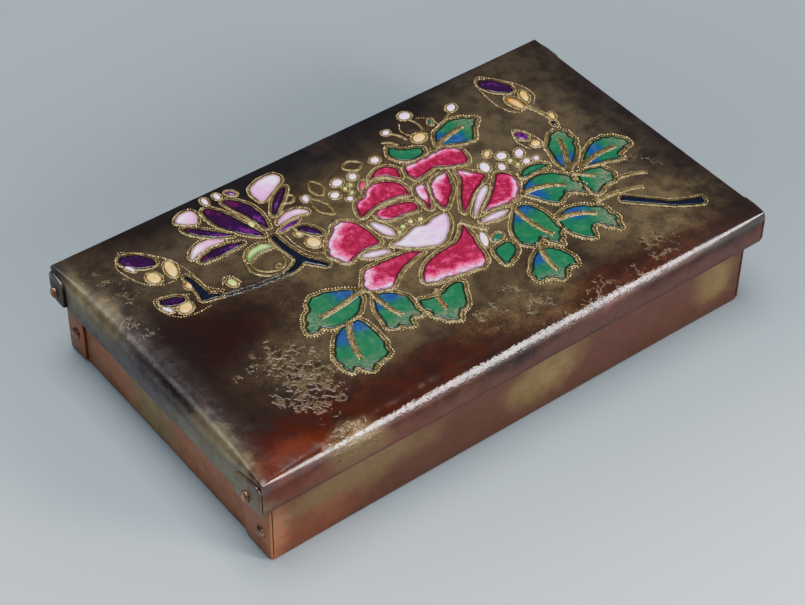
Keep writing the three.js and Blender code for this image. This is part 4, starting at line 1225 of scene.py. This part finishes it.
makeRidges()
print("raised lines ready")


# Enamel in the cells

def ramped(tree, value, stops):
    # a run of colours, each at its place from 0 to 1
    node = newNode(tree, "ShaderNodeValToRGB", {"Fac": value})
    band = node.color_ramp
    while len(band.elements) < len(stops):
        band.elements.new(0.5)
    for element, (place, *tint) in zip(band.elements, stops):
        element.position, element.color = place, colour(*tint)
    return node.outputs["Color"]


# the colours of each glass from its fade of 0 to 1, its edge colour, which is partly oxide and partly painted
# shade under the ridges, how cloudy the fade is, how grainy, and its roughness
enamels = {
    "crimson": {"stops": [(0, 246, 190, 232), (0.2, 238, 128, 196), (0.42, 220, 56, 134),
        (0.66, 184, 8, 88), (1, 112, 0, 40)], "edge": (56, 4, 28), "cloudy": 0.5, "grain": 0.6,
        "roughness": 0.26},
    "blush": {"stops": [(0, 252, 224, 254), (0.5, 246, 180, 252), (1, 236, 140, 236)],
        "edge": (130, 100, 112), "cloudy": 0.9, "grain": 0.4, "roughness": 0.25},
    "green": {"stops": [(0, 18, 44, 98), (0.3, 13, 56, 88), (0.5, 12, 68, 56), (1, 15, 79, 48)],
        "edge": (4, 18, 14), "cloudy": 0.3, "grain": 0.4, "roughness": 0.24, "shine": 0.08},
    "violet": {"stops": [(0, 66, 4, 50), (0.25, 34, 0, 36), (0.6, 34, 0, 44), (0.8, 84, 10, 92),
        (1, 26, 0, 38)], "edge": (10, 3, 12), "cloudy": 0.5, "grain": 0.3, "roughness": 0.14},
    "rose": {"stops": [(0, 252, 226, 252), (0.4, 240, 146, 232), (1, 226, 84, 202)],
        "edge": (176, 120, 152), "cloudy": 0.3, "grain": 0.2, "roughness": 0.22},
    "jade": {"stops": [(0, 206, 202, 84), (0.5, 140, 186, 84), (1, 108, 170, 84)], "edge": (70, 88, 56),
        "cloudy": 0.5, "grain": 0.2, "roughness": 0.25},
    "cream": {"stops": [(0, 196, 118, 14), (0.6, 234, 170, 44), (1, 242, 204, 96)], "edge": (104, 70, 40),
        "cloudy": 0.5, "grain": 0.25, "roughness": 0.25},
    "navy": {"stops": [(0, 10, 14, 34), (1, 5, 8, 24)], "edge": (6, 6, 10), "cloudy": 0.3, "grain": 0.15,
        "roughness": 0.16},
}

glassWear = {"shineTint": (150, 190, 160), "thin": 0.55, "thinTint": (112, 96, 84), "from": 0.9, "over": 0.35}


def makeEnamelMaterial(name, sizes):
    material, tree, shader, place = newMaterial(name + " enamel", Roughness=sizes["roughness"])
    fade, depth, worn = (newNode(tree, "ShaderNodeAttribute", attribute_name=label).outputs["Fac"]
                         for label in ("fade", "depth", "worn"))
    drift = between(tree, speckle(tree, place, 2.4, 4, 0.6), 0.25, 0.75, -0.5, 0.5)
    powder = between(tree, speckle(tree, place, 0.45, 2, 0.6), 0.3, 0.7, -0.5, 0.5)
    spread = plus(tree, fade, times(tree, drift, sizes["cloudy"]))
    spread = sums(tree, "ADD", spread, times(tree, powder, sizes["grain"] * 0.5), clamp=True)
    shade = ramped(tree, spread, sizes["stops"])
    light = between(tree, speckle(tree, place, 2.4, 5, 0.7), 0.45, 0.8, 0.0, sizes.get("shine", 0.0))
    shade = mixed(tree, light, shade, colour(*glassWear["shineTint"]))
    thin = times(tree, worn, between(tree, speckle(tree, place, 1.1, 3, 0.65), 0.4, 0.55), glassWear["thin"])
    shade = mixed(tree, thin, shade, colour(*glassWear["thinTint"]))
    # near its edge the glass takes the edge colour: partly copper oxide, partly painted shade at the foot of
    # the ridges
    shade = mixed(tree, between(tree, depth, 0.4, 0.95, 0.92, 0.0), shade, colour(*sizes["edge"]))
    tree.links.new(shade, shader.inputs["Base Color"])
    addBump(tree, shader, (speckle(tree, place, 0.8, 3, 0.6), 0.35, 0.06))
    return material


glasses = {name: makeEnamelMaterial(name, sizes) for name, sizes in enamels.items()}


def fadeOf(cell, x, y, paleSpots):
    # where a point lies in its glass's run of colours
    figure, glass = cell["figure"], cell["glass"]
    if glass == "crimson":
        return min(distanceTo(paleSpots, x, y) / figure["pale"][1], 1)
    if glass == "green":
        blues = figure.get("blue", [])
        return min([1] + [max(math.hypot(x - bx, y - by) / reach - 0.35, 0) for bx, by, reach in blues])
    if "deep" in figure:
        dx, dy, reach = figure["deep"]
        return max(1 - math.hypot(x - dx, y - dy) / reach, 0)
    if "from" in figure and (cell["motif"], glass) != ("bud", "violet"):
        return within(1 - chordPlace(figure, x, y))
    return 0.5


def wornOf(cell, x, y):
    # 1 at the far end of a leaf, where its glass has worn thin
    vein = cell["figure"].get("vein")
    return within((chordPlace(vein, x, y) - glassWear["from"]) / glassWear["over"]) if vein else 0


def fillLoops(loops, spacing):
    # triangles that fill the loops together, and each point's distance in from their common edge
    edge = treeOf([(x, y) for k, loop in enumerate(loops) for x, y in loop
                   if not any(inLoop(other, x, y) for n, other in enumerate(loops) if n != k)])
    every = [spot for loop in loops for spot in loop]
    xs, ys = zip(*every)
    points, row, y = [Vector(spot) for spot in every], 0, min(ys)
    everyTree = treeOf(every)
    while y < max(ys):
        x = min(xs) + (row % 2) * spacing / 2
        while x < max(xs):
            if distanceTo(everyTree, x, y) > spacing * 0.55 and any(inLoop(loop, x, y) for loop in loops):
                points.append(Vector((x, y)))
            x += spacing
        y += spacing * 0.87
        row += 1
    borders, first = [], 0
    for loop in loops:
        borders.append(list(range(first, first + len(loop))))
        first += len(loop)
    spots, _, faces, *_ = delaunay_2d_cdt(points, [], borders, 1, 1e-5)
    spots = [(spot.x, spot.y) for spot in spots]
    return spots, [tuple(face) for face in faces], [distanceTo(edge, x, y) for x, y in spots]

glassPool = {"spacing": 0.6, "tuck": 0.1, "floor": 0.05, "top": 0.26,
             "rim": 0.16, "rimWidth": 0.7, "uneven": 0.07}


def enamelBody(cell):
    # a pool of glass: its top dips a little from its edge, and its underside is flat
    loops = [offsetLoop(loop, glassPool["tuck"]) for loop in cell["loops"]]
    spots, faces, depths = fillLoops(loops, glassPool["spacing"])
    figure, pale = cell["figure"], None
    if "pale" in figure:
        pale = treeOf([spot for spot, side in zip(*outlineOf(figure)) if side in figure["pale"][0]])
    points = []
    for (x, y), depth in zip(spots, depths):
        rim = glassPool["rim"] * math.exp(-depth / glassPool["rimWidth"])
        uneven = glassPool["uneven"] * noise.noise((x * 0.35, y * 0.35, 3))
        points.append(onLid(x, y, glassPool["top"] + rim + uneven))
    count = len(points)
    points += [onLid(x, y, glassPool["floor"]) for x, y in spots]
    sides = {}
    for face in faces:
        for a, b in zip(face, face[1:] + face[:1]):
            sides[(a, b)] = (b, a) not in sides
            if (b, a) in sides:
                sides[(b, a)] = False
    walls = [(b, a, count + a, count + b) for (a, b), outer in sides.items() if outer]
    faces = faces + [tuple(count + k for k in reversed(face)) for face in faces] + walls
    fades = [fadeOf(cell, x, y, pale) for x, y in spots]
    wears = [wornOf(cell, x, y) for x, y in spots]
    return points, faces, {"depth": depths * 2, "fade": fades * 2, "worn": wears * 2}


def makeEnamel():
    for cell in cells:
        name, glass = cell["name"], cell["glass"]
        points, faces, attributes = enamelBody(cell)
        settle(makePiece(name + "_glass", points, faces, glasses[glass], attributes),
               glass + "_enamel", "enamel_" + name)


makeEnamel()


drop = {"height": 0.5 * mm, "segments": 20, "rings": 10}
paleDrop, deepDrop = 0.2, 0.75  # where drops lie in their glass's run of colours


def dropTree():
    # domed drops on points, each as long, as wide and as turned as its point says
    tree, sizes = newTree("glass drops", dict(drop, material=glasses["blush"]))
    position = wire(tree, "GeometryNodeInputPosition")
    height = newNode(tree, "ShaderNodeSeparateXYZ", {0: position}).outputs[2]
    # the lower part of a drop counts as its edge, so it takes the glass's edge colour with its painted shade
    ball = stored(tree, unitBall(tree, sizes), "depth", times(tree, height, 1.8))
    long, wide, turn = (pointValue(tree, name) for name in ("long", "wide", "turn"))
    shape = wire(tree, "ShaderNodeCombineXYZ", {"X": long, "Y": wide, "Z": sizes["height"]})
    turned = wire(tree, "ShaderNodeCombineXYZ", {"Z": turn})
    spots = wire(tree, "GeometryNodeMeshToPoints", {"Mesh": sizes["Geometry"]})
    return finishOnSpots(tree, sizes, spots, ball, Rotation=turned, Scale=shape)


def makeDrops():
    tree = dropTree()
    for glass, spots in drops.items():
        fade = paleDrop if glass in ("blush", "jade") else deepDrop
        attributes = {
            "long": [length / 2 * mm for _, _, length, _, _ in spots],
            "wide": [width / 2 * mm for _, _, _, width, _ in spots],
            "turn": [math.radians(turn) for *_, turn in spots], "fade": [fade] * len(spots),
        }
        points = [onLid(x, y, -0.02) for x, y, *_ in spots]
        sizes = dict(drop, material=glasses[glass])
        settle(grown(glass + "_drops", points, [], tree, sizes, attributes), glass + "_enamel")


makeDrops()
print("enamel ready")


# Rivets

rivetCopper = makeBronze("rivet copper", (112, 78, 62), (184, 136, 108), 0.22, 2.6)
rivet = {"radius": 2.1 * mm, "rise": 1.3 * mm, "segments": 28, "rings": 14, "material": rivetCopper}
rivetRows = {"lid": ((-51.6, 27.3), (55.9, 27.6), (-53.2, 27.3), (53.4, 27.5)),
             "tray": ((-52.4, 9.5), (52.3, 10), (-52, 9.7), (52, 9.8))}
rivetPlaces = {}
for name, pan in (("lid", lid), ("tray", tray)):
    for corner, (y, z) in zip(("front_left", "back_left", "front_right", "back_right"), rivetRows[name]):
        out = pan["halfX"] + sheet
        x = pan.get("centreX", 0) + (-out if corner.endswith("left") else out)
        rivetPlaces[name + "_rivet_" + corner] = (x, y, z)


def rivetTree():
    # a domed head on each point
    tree, sizes = newTree("rivet heads", rivet)
    sockets = {"X": sizes["rise"], "Y": sizes["radius"], "Z": sizes["radius"]}
    upright = turnedScaled(tree, unitBall(tree, sizes), Rotation=(0, math.radians(90), 0))
    head = turnedScaled(tree, upright, Scale=wire(tree, "ShaderNodeCombineXYZ", sockets))
    spots = wire(tree, "GeometryNodeMeshToPoints", {"Mesh": sizes["Geometry"]})
    return finishOnSpots(tree, sizes, spots, head)


rivets = grown("rivets", list(rivetPlaces.values()), [], rivetTree(), rivet)
settle(rivets, "rivet_copper", *rivetPlaces)
print("rivets ready")


# Floor

def makeFloor():
    half = studio["floorSize"] / 2
    data = bpy.data.meshes.new("floor")
    corners = [(-half, -half, 0), (half, -half, 0), (half, half, 0), (-half, half, 0)]
    data.from_pydata(corners, [], [(0, 1, 2, 3)])
    material, tree, shader, place = newMaterial("floor", Roughness=studio["floorRoughness"])
    # painted falloff of light: the floor is lighter towards the front and darker towards the back
    sockets = {0: place, 1: (0.615, 0.789, 0)}
    back = newNode(tree, "ShaderNodeVectorMath", sockets, operation="DOT_PRODUCT")
    fade = between(tree, back.outputs["Value"], -110, 100)
    paper = mixed(tree, fade, (*studio["floorNear"], 1), (*studio["floorFar"], 1))
    # a painted shadow: the floor darkens towards its shadow colour in a soft patch round the box
    shade = times(tree, cloud(tree, place, (10, 10, 0), (190, 130, 60), 0.6), 0.7)
    paper = mixed(tree, shade, paper, (*studio["floorPaintedShadow"], 1))
    tree.links.new(paper, shader.inputs["Base Color"])
    data.materials.append(material)
    intoScene("floor", data)


makeFloor()
print("floor ready")
